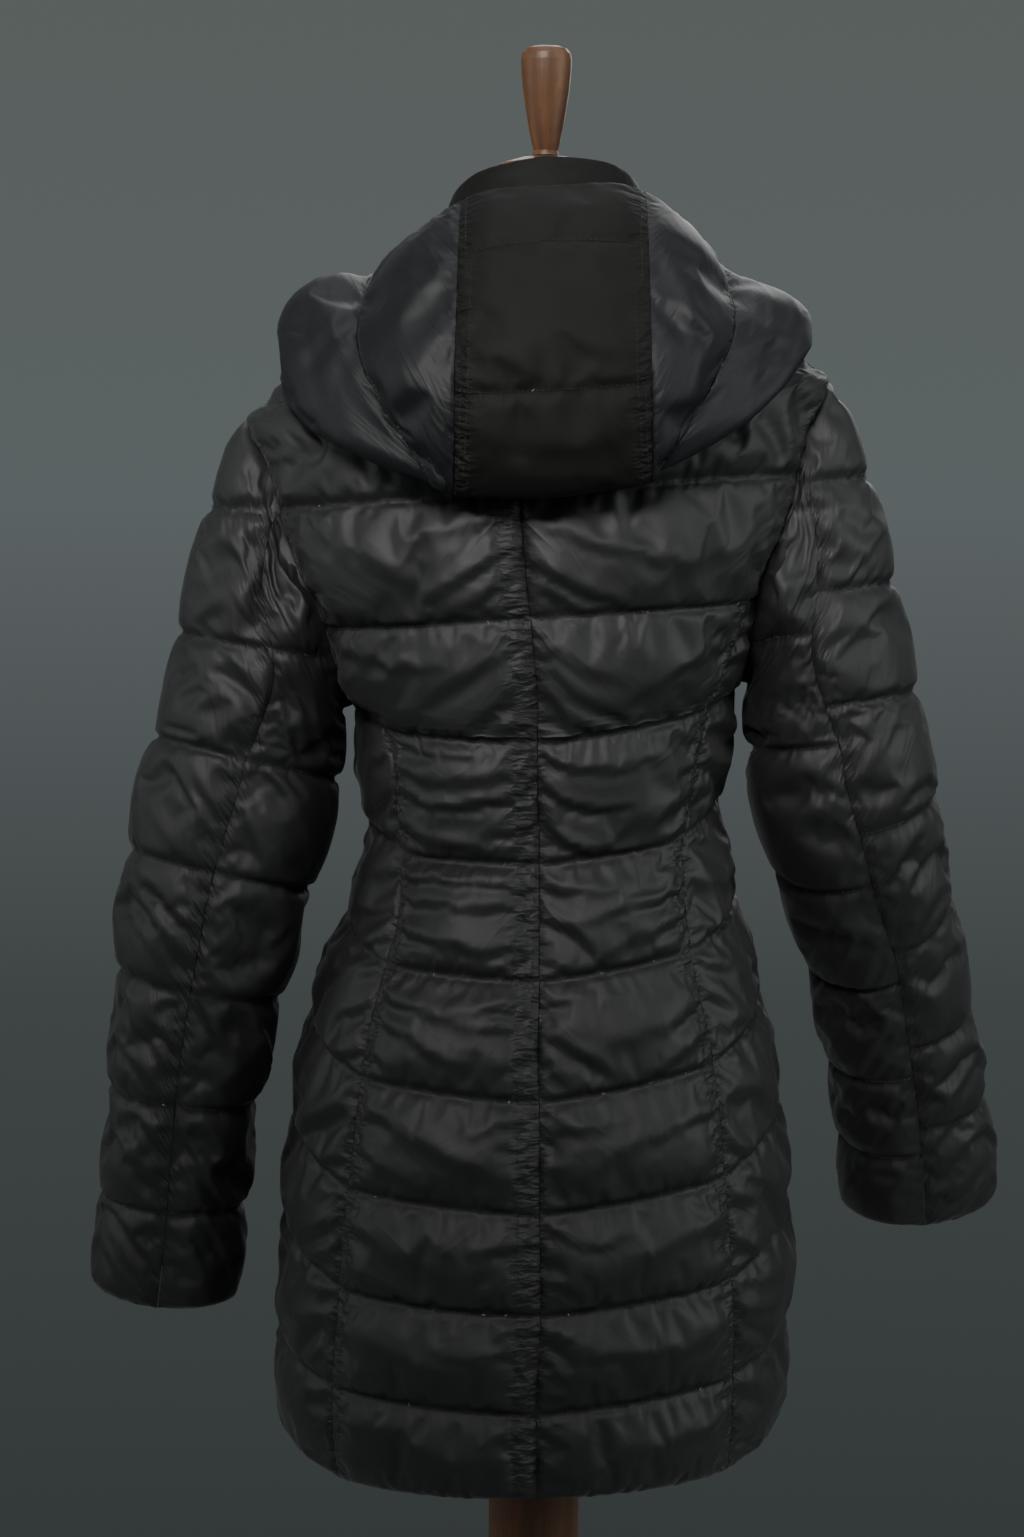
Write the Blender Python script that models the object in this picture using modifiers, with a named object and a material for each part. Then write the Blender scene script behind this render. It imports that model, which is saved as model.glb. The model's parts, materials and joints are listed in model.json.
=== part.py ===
"""A quilted, down-filled coat with its hood laid back, worn by a dress form on a
turned wooden stand. Metres, +Z up; the middle of the stand's foot is the origin and
the back of the coat faces -Y. Every piece of cloth is a wall with an outer side that
swells between its stitched lines, an inner side, and edges all round."""
import bpy
import bmesh
from mathutils import Vector, Matrix
import numpy as np
from math import cos, sin, pi, radians, degrees, sqrt, acos

# ------------------------------------------------------------------ sizes (metres)
SEAM_T = 0.0030      # cloth wall at a stitch line
PUFF = 0.0060        # how far the down filling swells a channel
INSET = 0.0065       # smooth base surface inside the widest outline
GAP = 0.0004         # gap between two pieces at a seam, shared half and half
ZIP_HALF = 0.0062    # half the width left open at centre front for the zip
POWER = 2.3          # roundness of the body sections

# Body sections: z, half width, depth to the back, depth to the front, sideways shift
BODY = [
    (0.590, .1620, .144, .139, .000),
    (0.625, .1712, .148, .143, -.002),
    (0.680, .1785, .151, .147, -.003),
    (0.740, .1792, .152, .149, .000),
    (0.800, .1768, .150, .148, -.001),
    (0.860, .1700, .146, .145, -.001),
    (0.910, .1618, .138, .140, -.002),
    (0.952, .1505, .128, .134, -.001),
    (1.000, .1350, .117, .127, .002),
    (1.045, .1245, .111, .124, .003),
    (1.090, .1285, .115, .134, .002),
    (1.139, .1370, .121, .146, .003),
    (1.170, .1530, .125, .152, .001),
    (1.210, .1700, .127, .150, -.002),
    (1.260, .1870, .125, .135, -.003),
    (1.305, .1970, .110, .114, -.004),
    (1.341, .2010, .094, .094, -.004),
    (1.368, .1620, .086, .083, -.003),
    (1.395, .1220, .079, .077, -.001),
    (1.425, .0790, .072, .073, .000),
    (1.450, .0755, .070, .071, .000),
]
# The coat hangs a little askew: z, rise of a level line per metre to the right
TILT = [(0.60, .028), (0.85, .040), (1.04, .066), (1.34, .078), (1.45, .060)]
# Stitched lines round the body: number, z at centre back, rise at the princess
# seam, rise at the side seam (0 is the hem, 9 the yoke, 10 the shoulder point, 12 the neck)
LINES = [
    (0, .612, .003, .020),
    (1, .670, .011, .040),
    (2, .736, .012, .058),
    (3, .803, .014, .058),
    (4, .876, .016, .056),
    (5, .954, .012, .045),
    (6, 1.030, .008, .036),
    (7, 1.111, .010, .028),
    (8, 1.194, .000, .002),
    (9, 1.277, .000, .000),
    (10, 1.341, .000, .000),
    (11, 1.385, .000, .000),
    (12, 1.425, .000, .000),
]
UNDERARM, SHOULDER, NECK = 7, 10, 12
# Princess seam of the back: z, degrees from centre back on the left, on the right
PRINCESS = [
    (.60, 51, 51), (.68, 48, 49), (.75, 47, 46), (.82, 45, 45), (.90, 44, 45),
    (.96, 44, 43), (1.00, 45, 44), (1.03, 50, 47), (1.06, 53, 52), (1.09, 51, 54),
    (1.116, 53, 56), (1.135, 62, 57), (1.152, 73, 58), (1.170, 73, 58), (1.200, 73, 60),
]
PRINCESS_TOP = {-1: 7.25, 1: 8.0}
# Armhole: z, degrees from centre back (back edge), degrees from centre front (front edge)
ARMHOLE = [
    (1.139, 90, 90), (1.150, 79, 77), (1.170, 69, 65), (1.195, 64.5, 59), (1.215, 63, 57),
    (1.242, 66.5, 58), (1.260, 68.5, 60), (1.280, 68.5, 62), (1.300, 69.5, 65), (1.320, 72, 70),
    (1.333, 78, 78), (1.341, 90, 90),
]
Z_UNDERARM, Z_SHOULDER = 1.139, 1.341
# Centre back seam: z, degrees it strays to the left
CENTRE_BACK = [(.60, -.6), (.95, -.2), (1.03, 1.0), (1.12, 1.6), (1.20, 1.6), (1.27, 2.6), (1.45, 2.6)]
# Sleeves below the armhole: z, x out, y, half width, half depth
SLEEVE = {
    -1: [
        (1.105, .2000, .000, .0625, .066),
        (1.066, .2090, -.002, .0670, .067),
        (1.013, .2216, -.004, .0635, .064),
        (.970, .2287, -.004, .0610, .062),
        (.922, .2376, -.002, .0553, .059),
        (.865, .2460, .002, .0515, .056),
        (.816, .2514, .006, .0495, .054),
        (.767, .2560, .010, .0500, .053),
        (.717, .2618, .014, .0497, .052),
    ],
    1: [
        (1.118, .2035, .000, .0590, .065),
        (1.085, .2080, .001, .0612, .066),
        (1.050, .2160, .007, .0600, .064),
        (1.006, .2281, .024, .0557, .061),
        (.959, .2440, .048, .0530, .059),
        (.905, .2570, .068, .0524, .056),
        (.855, .2674, .084, .0524, .054),
        (.810, .2748, .097, .0535, .053),
        (.771, .2790, .110, .0550, .053),
    ],
}
CAP_BULGE = .0090
# Back seam of the sleeve: rung of the sleeve, degrees from its outer edge to the back
SLEEVE_SEAM = [(0, 68.5), (.25, 85), (.45, 97), (.7, 100), (1, 95), (2, 92), (9, 91)]


def smooth(x, xs, ys):
    """Cubic through a table, its slope the weighted mean of its neighbours'."""
    xs = np.asarray(xs, float)
    ys = np.asarray(ys, float)
    x = np.asarray(x, float)
    h = np.diff(xs)
    d = np.diff(ys) / h
    m = np.empty_like(ys)
    m[0], m[-1] = d[0], d[-1]
    m[1:-1] = (d[:-1] * h[1:] + d[1:] * h[:-1]) / (h[:-1] + h[1:])
    i = np.clip(np.searchsorted(xs, x) - 1, 0, len(xs) - 2)
    t = np.clip((x - xs[i]) / h[i], 0, 1)
    return ((2 * t ** 3 - 3 * t ** 2 + 1) * ys[i] + (t ** 3 - 2 * t ** 2 + t) * h[i] * m[i]
            + (-2 * t ** 3 + 3 * t ** 2) * ys[i + 1] + (t ** 3 - t ** 2) * h[i] * m[i + 1])


def column(table, c):
    return [row[c] for row in table]


def look(table, x, c):
    return smooth(x, column(table, 0), column(table, c))


def spow(v, p):
    return np.sign(v) * np.abs(v) ** p


def body(th, z):
    """Base surface of the coat. th in degrees: 0 centre back, 90 right side, 180 centre front."""
    t = np.radians(th)
    s, c, e = np.sin(t), np.cos(t), 2 / POWER
    half = look(BODY, z, 1) - INSET
    deep = np.where(c > 0, look(BODY, z, 2), look(BODY, z, 3))
    x = look(BODY, z, 4) + half * spow(s, e)
    y = -deep * spow(c, e)
    lean = np.interp(z, column(TILT, 0), column(TILT, 1))
    return np.stack(np.broadcast_arrays(x, y, z + lean * x), -1)


def body_normal(th, z):
    a = body(th + .5, z) - body(th - .5, z)
    b = body(th, z + .002) - body(th, z - .002)
    n = np.cross(a, b)
    return n / np.linalg.norm(n, axis=-1, keepdims=True)


def level(q, th):
    """Height of stitched line q at th, with its rise towards the side seams."""
    a = np.abs(th)
    a = np.where(a > 90, 180 - a, a)
    near = look(LINES, q, 2)
    side = look(LINES, q, 3)
    rise = np.where(a < 45, near * a / 45, near + (side - near) * (a - 45) / 45)
    return look(LINES, q, 1) + rise


def settle(q, start, rule):
    """The degrees at which line q meets a seam given by height."""
    th = start
    for _ in range(30):
        th = .5 * th + .5 * float(rule(float(level(q, th))))
    return th


def edge_centre(q, side):
    return -float(settle(q, 0.0, lambda z: np.interp(z, column(CENTRE_BACK, 0), column(CENTRE_BACK, 1))))


def edge_armhole(q, side, face):
    """face 1 is the back edge, 2 the front edge; 90 above the shoulder point."""
    if q <= UNDERARM or q >= SHOULDER:
        th = 90.0
    else:
        f = (lambda z: np.interp(z, column(ARMHOLE, 0), column(ARMHOLE, face)))
        if face == 1:
            th = settle(q, 70.0, f)
        else:
            th = settle(q, 70.0, lambda z: f(z))
    return side * (th if face == 1 else 180 - th)


def edge_princess(q, side):
    c = 1 if side < 0 else 2
    return side * settle(q, 50.0, lambda z: np.interp(z, column(PRINCESS, 0), column(PRINCESS, c)))


def puff_at(q):
    f = np.abs(np.sin(pi * np.asarray(q, float)))
    return f ** .6


def armhole_point(phi, side):
    """Armhole loop: phi 0 shoulder, 90 back, 180 underarm, 270 front. Gives th, z."""
    phi = np.asarray(phi, float) % 360
    z = Z_UNDERARM + (Z_SHOULDER - Z_UNDERARM) * (1 + np.cos(np.radians(phi))) / 2
    back = np.interp(z, column(ARMHOLE, 0), column(ARMHOLE, 1))
    front = 180 - np.interp(z, column(ARMHOLE, 0), column(ARMHOLE, 2))
    return side * np.where(phi <= 180, back, front), z


def phi_of(z):
    return degrees(acos(max(-1, min(1, 2 * (z - Z_UNDERARM) / (Z_SHOULDER - Z_UNDERARM) - 1))))


def sleeve_frame(t, side):
    """Centre, outward and backward directions and half sizes of sleeve rung t (t >= 1)."""
    T = SLEEVE[side]
    k = np.arange(1, len(T) + 1, dtype=float)
    t = np.clip(t, 1, len(T))
    c = np.stack([side * smooth(t, k, column(T, 1)), smooth(t, k, column(T, 2)), smooth(t, k, column(T, 0))], -1)
    e = .02
    t0, t1 = np.clip(t - e, 1, len(T)), np.clip(t + e, 1, len(T))
    a = np.stack([side * smooth(t0, k, column(T, 1)), smooth(t0, k, column(T, 2)), smooth(t0, k, column(T, 0))], -1)
    b = np.stack([side * smooth(t1, k, column(T, 1)), smooth(t1, k, column(T, 2)), smooth(t1, k, column(T, 0))], -1)
    d = b - a
    d = d / np.linalg.norm(d, axis=-1, keepdims=True)
    back = np.zeros_like(d)
    back[..., 1] = -1.0
    out = np.cross(back, d) * (side)
    out = out / np.linalg.norm(out, axis=-1, keepdims=True)
    out = out * np.sign(out[..., :1]) * side
    back = np.cross(d, out)
    back = back * -np.sign(back[..., 1:2])
    return c, out, back, smooth(t, k, column(T, 3)) - .0035, smooth(t, k, column(T, 4)) - .0035


def sleeve(phi, t, side):
    """Base surface of a sleeve. t 0 armhole, 1 below the underarm, 9 cuff."""
    phi, t = np.broadcast_arrays(np.asarray(phi, float), np.asarray(t, float))
    r = np.radians(phi)
    c, out, back, w, d = sleeve_frame(np.maximum(t, 1), side)
    e = 2 / 2.15
    ring = c + out * (w * spow(np.cos(r), e))[..., None] + back * (d * spow(np.sin(r), e))[..., None]
    th, z = armhole_point(phi, side)
    hole = body(th, z)
    u = np.clip(t, 0, 1)
    low = np.clip(-np.cos(r) * 1.15 + .15, 0, 1)
    mix = np.stack([u ** (1 - .60 * low), u, u ** (1 + .8 * low)], -1)
    lift = CAP_BULGE * np.sin(pi * u ** .6)
    push = np.stack([side * np.maximum(np.cos(r), 0), -np.sin(r) * .8, 0 * r], -1) * lift[..., None]
    clear = (low * np.sin(pi * u ** .5))[..., None]
    push = push + body_normal(th, z) * .0050 * clear + np.array([0, 0, .0045]) * clear * low[..., None]
    return hole * (1 - mix) + ring * mix + push


def sleeve_normal(phi, t, side):
    a = sleeve(phi + 1.5, t, side) - sleeve(phi - 1.5, t, side)
    tt = np.asarray(t, float)
    n = len(SLEEVE[side])
    b = sleeve(phi, np.minimum(tt + .05, n), side) - sleeve(phi, np.maximum(tt - .05, 0), side)
    m = np.cross(a, b) * side
    m = m / np.linalg.norm(m, axis=-1, keepdims=True)
    return m

# ------------------------------------------------------------------ collar and hood
COLLAR_BASE = 1.4254
# Collar: degrees from centre back, height of its top edge
COLLAR_TOP = [(0, 1.500), (40, 1.494), (90, 1.481), (135, 1.483), (180, 1.488)]
COLLAR_SIZE = {"base": (.0725, .0720, .0730), "top": (.0605, .0575, .0620)}
COLLAR_T = .0050
# Hood sections from the centre (0) to the front end (3), left side as worn, level coat:
# station, then x out, y, z of the rim, upper swell, lower swell and fold
HOOD = [
    (0.00, (.000, -.080, 1.478), (.000, -.128, 1.440), (.000, -.168, 1.350), (.000, -.156, 1.276)),
    (1.00, (.055, -.066, 1.472), (.056, -.116, 1.434), (.058, -.160, 1.352), (.059, -.149, 1.282)),
    (1.50, (.092, -.012, 1.452), (.092, -.092, 1.424), (.091, -.148, 1.358), (.066, -.149, 1.285)),
    (2.00, (.113, .040, 1.438), (.121, -.050, 1.410), (.119, -.118, 1.368), (.075, -.148, 1.290)),
    (2.33, (.112, .056, 1.434), (.142, -.020, 1.430), (.149, -.080, 1.392), (.133, -.122, 1.322)),
    (2.66, (.106, .070, 1.432), (.156, .010, 1.428), (.173, -.032, 1.402), (.172, -.064, 1.364)),
    (3.00, (.094, .084, 1.430), (.128, .072, 1.424), (.152, .056, 1.408), (.160, .044, 1.388)),
]
# Under layer: station, degrees and body height where it leaves the fold, degrees at the nape
HOOD_UNDER = [
    (0.00, 0, 1.306, 0), (1.00, 17, 1.308, 25), (1.50, 20, 1.311, 42), (2.00, 24, 1.316, 60),
    (2.33, 46, 1.338, 82), (2.66, 74, 1.364, 104), (3.00, 122, 1.380, 128),
]
HOOD_T = .0050
HOOD_CLEAR = .0150
HOOD_LEAN = .060


def collar(th, v):
    """Base surface of the stand collar, v 0 at the neck seam and 1 at the top."""
    t = np.radians(th)
    s, c, e = np.sin(t), np.cos(t), 2 / POWER
    b, p = COLLAR_SIZE["base"], COLLAR_SIZE["top"]
    half = b[0] + (p[0] - b[0]) * v
    deep = np.where(c > 0, b[1] + (p[1] - b[1]) * v, b[2] + (p[2] - b[2]) * v)
    top = smooth(np.abs(th), column(COLLAR_TOP, 0), column(COLLAR_TOP, 1))
    x = half * spow(s, e)
    z = COLLAR_BASE + (top - COLLAR_BASE) * v + np.interp(1.425, column(TILT, 0), column(TILT, 1)) * x
    return np.stack(np.broadcast_arrays(x, -deep * spow(c, e), z), -1)


def collar_normal(th, v):
    a = collar(th + .5, v) - collar(th - .5, v)
    b = collar(th, np.asarray(v) + .01) - collar(th, np.asarray(v) - .01)
    n = np.cross(a, b)
    n[..., 2] *= np.clip(np.asarray(v) * 6, 0, 1)
    return n / np.linalg.norm(n, axis=-1, keepdims=True)


def hood(c, s):
    """Middle of the hood's wall. c -3 left end .. 0 .. 3 right end; s 0 rim, 3 fold, 6 nape."""
    c, s = np.broadcast_arrays(np.asarray(c, float), np.asarray(s, float))
    side = np.where(c < 0, -1.0, 1.0)
    a = np.abs(c)
    keys = column(HOOD, 0)
    knots = []
    for j in range(1, 5):
        xyz = [smooth(a, keys, [row[j][k] for row in HOOD]) for k in range(3)]
        x = side * xyz[0] + .0095 * np.clip(1 - np.abs(c - 1), 0, 1)
        g = np.clip((c - 1.9) / .5, 0, 1)
        xyz[2] = xyz[2] - (.018, .026, .016, 0)[j - 1] * g * g * (3 - 2 * g)
        knots.append(np.stack([x, xyz[1], xyz[2] + HOOD_LEAN * x], -1))
    th, z, nape = (look(HOOD_UNDER, a, k) for k in (1, 2, 3))
    for w, off in ((0.0, HOOD_CLEAR), (.5, .0140), (1.0, .0105)):
        tt = side * (th + (nape - th) * w)
        zz = z + (1.438 - z) * w
        knots.append(body(tt, zz) + body_normal(tt, zz) * off)
    K = np.stack([2 * knots[0] - knots[1]] + knots + [2 * knots[-1] - knots[-2]], 0)
    i = np.clip(s.astype(int), 0, 5)
    u = (s - i)[..., None]
    take = lambda k: np.take_along_axis(K, (i + k)[None, ..., None], 0)[0]
    p0, p1, p2, p3 = take(0), take(1), take(2), take(3)
    return .5 * (2 * p1 + (p2 - p0) * u + (2 * p0 - 5 * p1 + 4 * p2 - p3) * u * u
                 + (3 * p1 - p0 - 3 * p2 + p3) * u ** 3)


def hood_normal(c, s):
    c, s = np.broadcast_arrays(np.asarray(c, float), np.asarray(s, float))
    a = hood(np.minimum(c + .02, 3), s) - hood(np.maximum(c - .02, -3), s)
    b = hood(c, np.minimum(s + .03, 6)) - hood(c, np.maximum(s - .03, 0))
    n = -np.cross(a, b)
    return n / np.linalg.norm(n, axis=-1, keepdims=True)

# ------------------------------------------------------------------ form and stand
# Torso of the form: z, half width, depth to the back, depth to the front
FORM = [
    (0.700, .128, .108, .106), (0.712, .137, .116, .113), (0.760, .150, .128, .124),
    (0.820, .153, .130, .126), (0.880, .146, .123, .122), (0.940, .131, .110, .115),
    (1.000, .112, .094, .106), (1.045, .104, .090, .104), (1.100, .106, .095, .112),
    (1.160, .116, .102, .124), (1.210, .136, .104, .122), (1.260, .156, .100, .110),
    (1.295, .164, .086, .092), (1.320, .152, .072, .076), (1.345, .122, .062, .062),
    (1.375, .086, .056, .056), (1.405, .060, .053, .053), (1.440, .053, .050, .050),
    (1.4780, .0515, .0485, .0485),
]
# Turned pieces: radius, z, from the top down the outer side
NECK_CAP = [(.0003, 1.5055), (.016, 1.5045), (.030, 1.5005), (.041, 1.4940), (.0485, 1.4855), (.0505, 1.4800),
            (.0500, 1.4784), (.0003, 1.4784)]
FINIAL = [(.0003, 1.5800), (.0090, 1.5795), (.0140, 1.5780), (.0166, 1.5745), (.0173, 1.5700), (.0170, 1.5620),
          (.0158, 1.5500), (.0140, 1.5380), (.0118, 1.5250), (.0096, 1.5140), (.0082, 1.5090),
          (.0088, 1.5072), (.0092, 1.5059), (.0003, 1.5059)]
POST = [(.0003, .6996), (.0300, .6996), (.0315, .6980), (.0315, .0340), (.0300, .0304), (.0003, .0304)]
BASE = [(.0003, .0300), (.1900, .0300), (.2020, .0280), (.2100, .0220), (.2120, .0140), (.2100, .0040),
        (.2060, .0000), (.0003, .0000)]
TURN_STEPS = 48

COLOURS = {
    "shell": ((.018, .019, .022, 1), .42, 0), "dull": ((.020, .019, .018, 1), .60, 0),
    "satin": ((.022, .024, .030, 1), .36, 0), "linen": ((.35, .31, .25, 1), .85, 0),
    "wood": ((.16, .055, .022, 1), .45, 0), "metal": ((.10, .10, .10, 1), .35, 1),
    "tape": ((.012, .012, .013, 1), .80, 0),
}

for old in list(bpy.data.objects):
    bpy.data.objects.remove(old, do_unlink=True)
model = bpy.data.collections.new("puffer_coat")
bpy.context.scene.collection.children.link(model)


def material(kind, name):
    rgba, rough, metal = COLOURS[kind]
    m = bpy.data.materials.new(name)
    m.use_nodes = True
    p = m.node_tree.nodes["Principled BSDF"]
    p.inputs["Base Color"].default_value = rgba
    p.inputs["Roughness"].default_value = rough
    p.inputs["Metallic"].default_value = metal
    return m


def add(name, mesh, kind):
    ob = bpy.data.objects.new(name, mesh)
    model.objects.link(ob)
    mesh.materials.append(material(kind, name + "_finish"))
    return ob


def wall(name, outer, inner, kind):
    """Closed wall between two grids of points (rows, columns)."""
    rows, cols = outer.shape[:2]
    bm = bmesh.new()
    o = [[bm.verts.new(outer[r, c]) for c in range(cols)] for r in range(rows)]
    i = [[bm.verts.new(inner[r, c]) for c in range(cols)] for r in range(rows)]
    for r in range(rows - 1):
        for c in range(cols - 1):
            bm.faces.new((o[r][c], o[r][c + 1], o[r + 1][c + 1], o[r + 1][c]))
            bm.faces.new((i[r][c], i[r + 1][c], i[r + 1][c + 1], i[r][c + 1]))
    for r in range(rows - 1):
        bm.faces.new((o[r][0], o[r + 1][0], i[r + 1][0], i[r][0]))
        bm.faces.new((o[r][-1], i[r][-1], i[r + 1][-1], o[r + 1][-1]))
    for c in range(cols - 1):
        bm.faces.new((o[0][c], i[0][c], i[0][c + 1], o[0][c + 1]))
        bm.faces.new((o[-1][c], o[-1][c + 1], i[-1][c + 1], i[-1][c]))
    bmesh.ops.recalc_face_normals(bm, faces=bm.faces)
    mesh = bpy.data.meshes.new(name)
    bm.to_mesh(mesh)
    bm.free()
    mesh.shade_smooth()
    return add(name, mesh, kind)


def body_wall(name, rows, low, high, segments, kind="shell"):
    """A body panel between two seams, one row of points for each of its stitched
    lines and the middles of its channels. low and high give a seam's degrees."""
    outer, inner = [], []
    for q in rows:
        a, b = low(q), high(q)
        th = np.linspace(a, b, segments + 1)
        z = level(q, th)
        p, n = body(th, z), body_normal(th, z)
        n[:, 2] *= 1 - np.clip((q - 11) / 1.0, 0, 1)
        n /= np.linalg.norm(n, axis=1, keepdims=True)
        along = p[1:] - p[:-1]
        p[0] += along[0] / np.linalg.norm(along[0]) * GAP / 2
        p[-1] -= along[-1] / np.linalg.norm(along[-1]) * GAP / 2
        u = np.linspace(0, 1, segments + 1)
        swell = PUFF * float(puff_at(q)) * (.35 + .65 * np.minimum(1, 4 * np.minimum(u, 1 - u)))
        if q > 9.3:
            swell = swell * .4
        outer.append(p + n * (SEAM_T / 2 + swell)[:, None])
        inner.append(p - n * (SEAM_T / 2))
    return wall(name, np.array(outer), np.array(inner), kind)


def front_edge(q, side):
    z = float(level(q, 180.0))
    half = float(look(BODY, z, 1)) - INSET
    return side * (180 - degrees(np.arcsin((ZIP_HALF / half) ** (POWER / 2))))


# Rows: hem, then the middle and the stitched line of each channel; finer at the armhole
LOW = [k / 2 for k in range(0, 15)]
HOLE = [7, 7.25, 7.5, 7.75, 8, 8.5, 9, 9.4, 9.75, 10]
HIGH = [10.5, 11, 11.5, 12]
ALL = LOW + HOLE[1:] + HIGH

for side, word in ((-1, "left"), (1, "right")):
    top = PRINCESS_TOP[side]

    def outer_edge(q, side=side, top=top):
        return edge_princess(q, side) if q <= top else edge_armhole(q, side, 1)

    def side_edge(q, side=side):
        return side * 90.0 if q <= UNDERARM else edge_armhole(q, side, 1)

    def front_side(q, side=side):
        return side * 90.0 if q <= UNDERARM else edge_armhole(q, side, 2)

    centre = (lambda q, side=side: edge_centre(q, side))
    princess = (lambda q, side=side: edge_princess(q, side))
    closing = (lambda q, side=side: front_edge(q, side))
    if side < 0:
        body_wall("back_left", ALL, outer_edge, centre, 6)
        body_wall("side_back_left", [q for q in ALL if q <= top], side_edge, princess, 4)
        body_wall("front_left", ALL, closing, front_side, 8)
    else:
        body_wall("back_right", ALL, centre, outer_edge, 6)
        body_wall("side_back_right", [q for q in ALL if q <= top], princess, side_edge, 4)
        body_wall("front_right", ALL, front_side, closing, 8)

# ------------------------------------------------------------------ sleeves
HOLE_Z = [float(level(q, edge_armhole(q, 1, 1))) for q in HOLE]
RUNGS = [0, .15, .4, .7, 1, 1.5, 2, 2.5, 3, 3.5, 4, 4.5, 5, 5.5, 6, 6.5, 7, 7.5, 8, 8.5, 9]


def hole_phi(face):
    out = []
    for q in HOLE:
        th = abs(edge_armhole(q, 1, face))
        z = float(level(q, th))
        out.append(phi_of(z))
    return out


def sleeve_wall(name, side, phis0, seam_low, seam_high, kind="shell"):
    """Sleeve panel: phis0 are its columns at the armhole, seam_low and seam_high its
    two long seams in degrees at any rung. Its first row is moved off the armhole edge."""
    n = len(phis0)
    outer, inner = [], []
    for t in RUNGS:
        w = min(1, t / .7)
        w = w * w * (3 - 2 * w)
        even = np.linspace(seam_low(t), seam_high(t), n)
        phi = np.asarray(phis0) * (1 - w) + even * w
        p = sleeve(phi, np.full(n, float(t)), side)
        nn = sleeve_normal(phi, np.full(n, float(t)), side)
        swell = PUFF * .9 * (0.0 if t < .1 else (.5 if t < 1 else abs(sin(pi * t)) ** .6 + .08))
        u = np.linspace(0, 1, n)
        s = swell * (.35 + .65 * np.minimum(1, 4 * np.minimum(u, 1 - u)))
        if t == 0:
            th, z = armhole_point(phi, side)
            N = body_normal(th, z)
            f = 1.0
            a = body(*armhole_point(phi - f, side))
            b = body(*armhole_point(phi + f, side))
            d = b - a
            d /= np.linalg.norm(d, axis=1, keepdims=True)
            T = np.cross(N, d) * side
            T /= np.linalg.norm(T, axis=1, keepdims=True)
            turn = np.clip((np.abs(((phi + 180) % 360) - 180) - 110) / 60, 0, 1) * pi / 2
            Ns = N * np.cos(turn)[:, None] - T * np.sin(turn)[:, None]
            e = p + T * (GAP * (1.5 + 1.6 * np.clip(np.cos(np.radians(phi)) * 2 - 1, 0, 1)))[:, None] + N * (SEAM_T / 2 * np.cos(turn))[:, None]
            outer.append(e)
            inner.append(e - Ns * SEAM_T)
            continue
        gap = p[1:] - p[:-1]
        p[0] += gap[0] / np.linalg.norm(gap[0]) * GAP / 2
        p[-1] -= gap[-1] / np.linalg.norm(gap[-1]) * GAP / 2
        outer.append(p + nn * (SEAM_T / 2 + s)[:, None])
        inner.append(p - nn * (SEAM_T / 2))
    outer, inner = np.array(outer), np.array(inner)
    for g in (outer, inner):
        g[0, 0] += (g[0, 1] - g[0, 0]) / np.linalg.norm(g[0, 1] - g[0, 0]) * GAP / 2
        g[0, -1] -= (g[0, -1] - g[0, -2]) / np.linalg.norm(g[0, -1] - g[0, -2]) * GAP / 2
    return wall(name, outer, inner, kind)


back_phi = hole_phi(1)
front_phi = [360 - a for a in hole_phi(2)]
loop = sorted(set([round(a, 6) for a in back_phi + front_phi]))
if loop[-1] >= 359.99:
    loop = loop[:-1]
BACK_SEAM0 = round(back_phi[HOLE.index(9)], 6)
FRONT_SEAM0 = round(front_phi[HOLE.index(8)], 6)


def back_seam(t):
    first = BACK_SEAM0 if t == 0 else None
    return first if first is not None else float(smooth(t, column(SLEEVE_SEAM, 0), column(SLEEVE_SEAM, 1)))


def front_seam(t):
    return FRONT_SEAM0 + (270 - FRONT_SEAM0) * min(1, t / 2)


under = [a for a in loop if BACK_SEAM0 - 1e-4 <= a <= FRONT_SEAM0 + 1e-4]
over = [a - 360 for a in loop if a >= FRONT_SEAM0 - 1e-4] + [a for a in loop if a <= BACK_SEAM0 + 1e-4]
for side, word in ((-1, "left"), (1, "right")):
    sleeve_wall("sleeve_%s_under" % word, side, under, back_seam, front_seam)
    sleeve_wall("sleeve_%s_outer" % word, side, over, lambda t: front_seam(t) - 360, back_seam)

# ------------------------------------------------------------------ collar
span = 180 - degrees(np.arcsin((ZIP_HALF / COLLAR_SIZE["top"][0]) ** (POWER / 2))) - .4
angles = np.linspace(-span, span, 23)
grid_o, grid_i = [], []
for v in (0, .25, .5, .75, 1):
    p, n = collar(angles, np.full(23, float(v))), collar_normal(angles, np.full(23, float(v)))
    swell = .0015 * sin(pi * v)
    grid_o.append(p + n * (COLLAR_T / 2 + swell))
    grid_i.append(p - n * (COLLAR_T / 2))
wall("collar", np.array(grid_o), np.array(grid_i), "dull")

# ------------------------------------------------------------------ hood
HOOD_ROWS = [0, .5, 1, 1.5, 2, 2.4, 2.7, 3, 3.3, 3.6, 4, 4.6, 5.3, 6]


def hood_wall(name, c0, c1, segments, kind):
    outer, inner = [], []
    c = np.linspace(c0, c1, segments + 1)
    for s in HOOD_ROWS:
        ss = np.full(len(c), float(s))
        p, n = hood(c, ss), hood_normal(c, ss)
        g = p[1:] - p[:-1]
        if abs(c0) < 2.9:
            p[0] += g[0] / np.linalg.norm(g[0]) * GAP / 2
        if abs(c1) < 2.9:
            p[-1] -= g[-1] / np.linalg.norm(g[-1]) * GAP / 2
        swell = .0025 * (sin(pi * min(s, 3) / 3) if s < 3 else 0)
        u = np.linspace(0, 1, segments + 1)
        outer.append(p + n * (HOOD_T / 2 + swell * np.minimum(1, 4 * np.minimum(u, 1 - u)))[:, None])
        inner.append(p - n * (HOOD_T / 2))
    return wall(name, np.array(outer), np.array(inner), kind)


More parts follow.
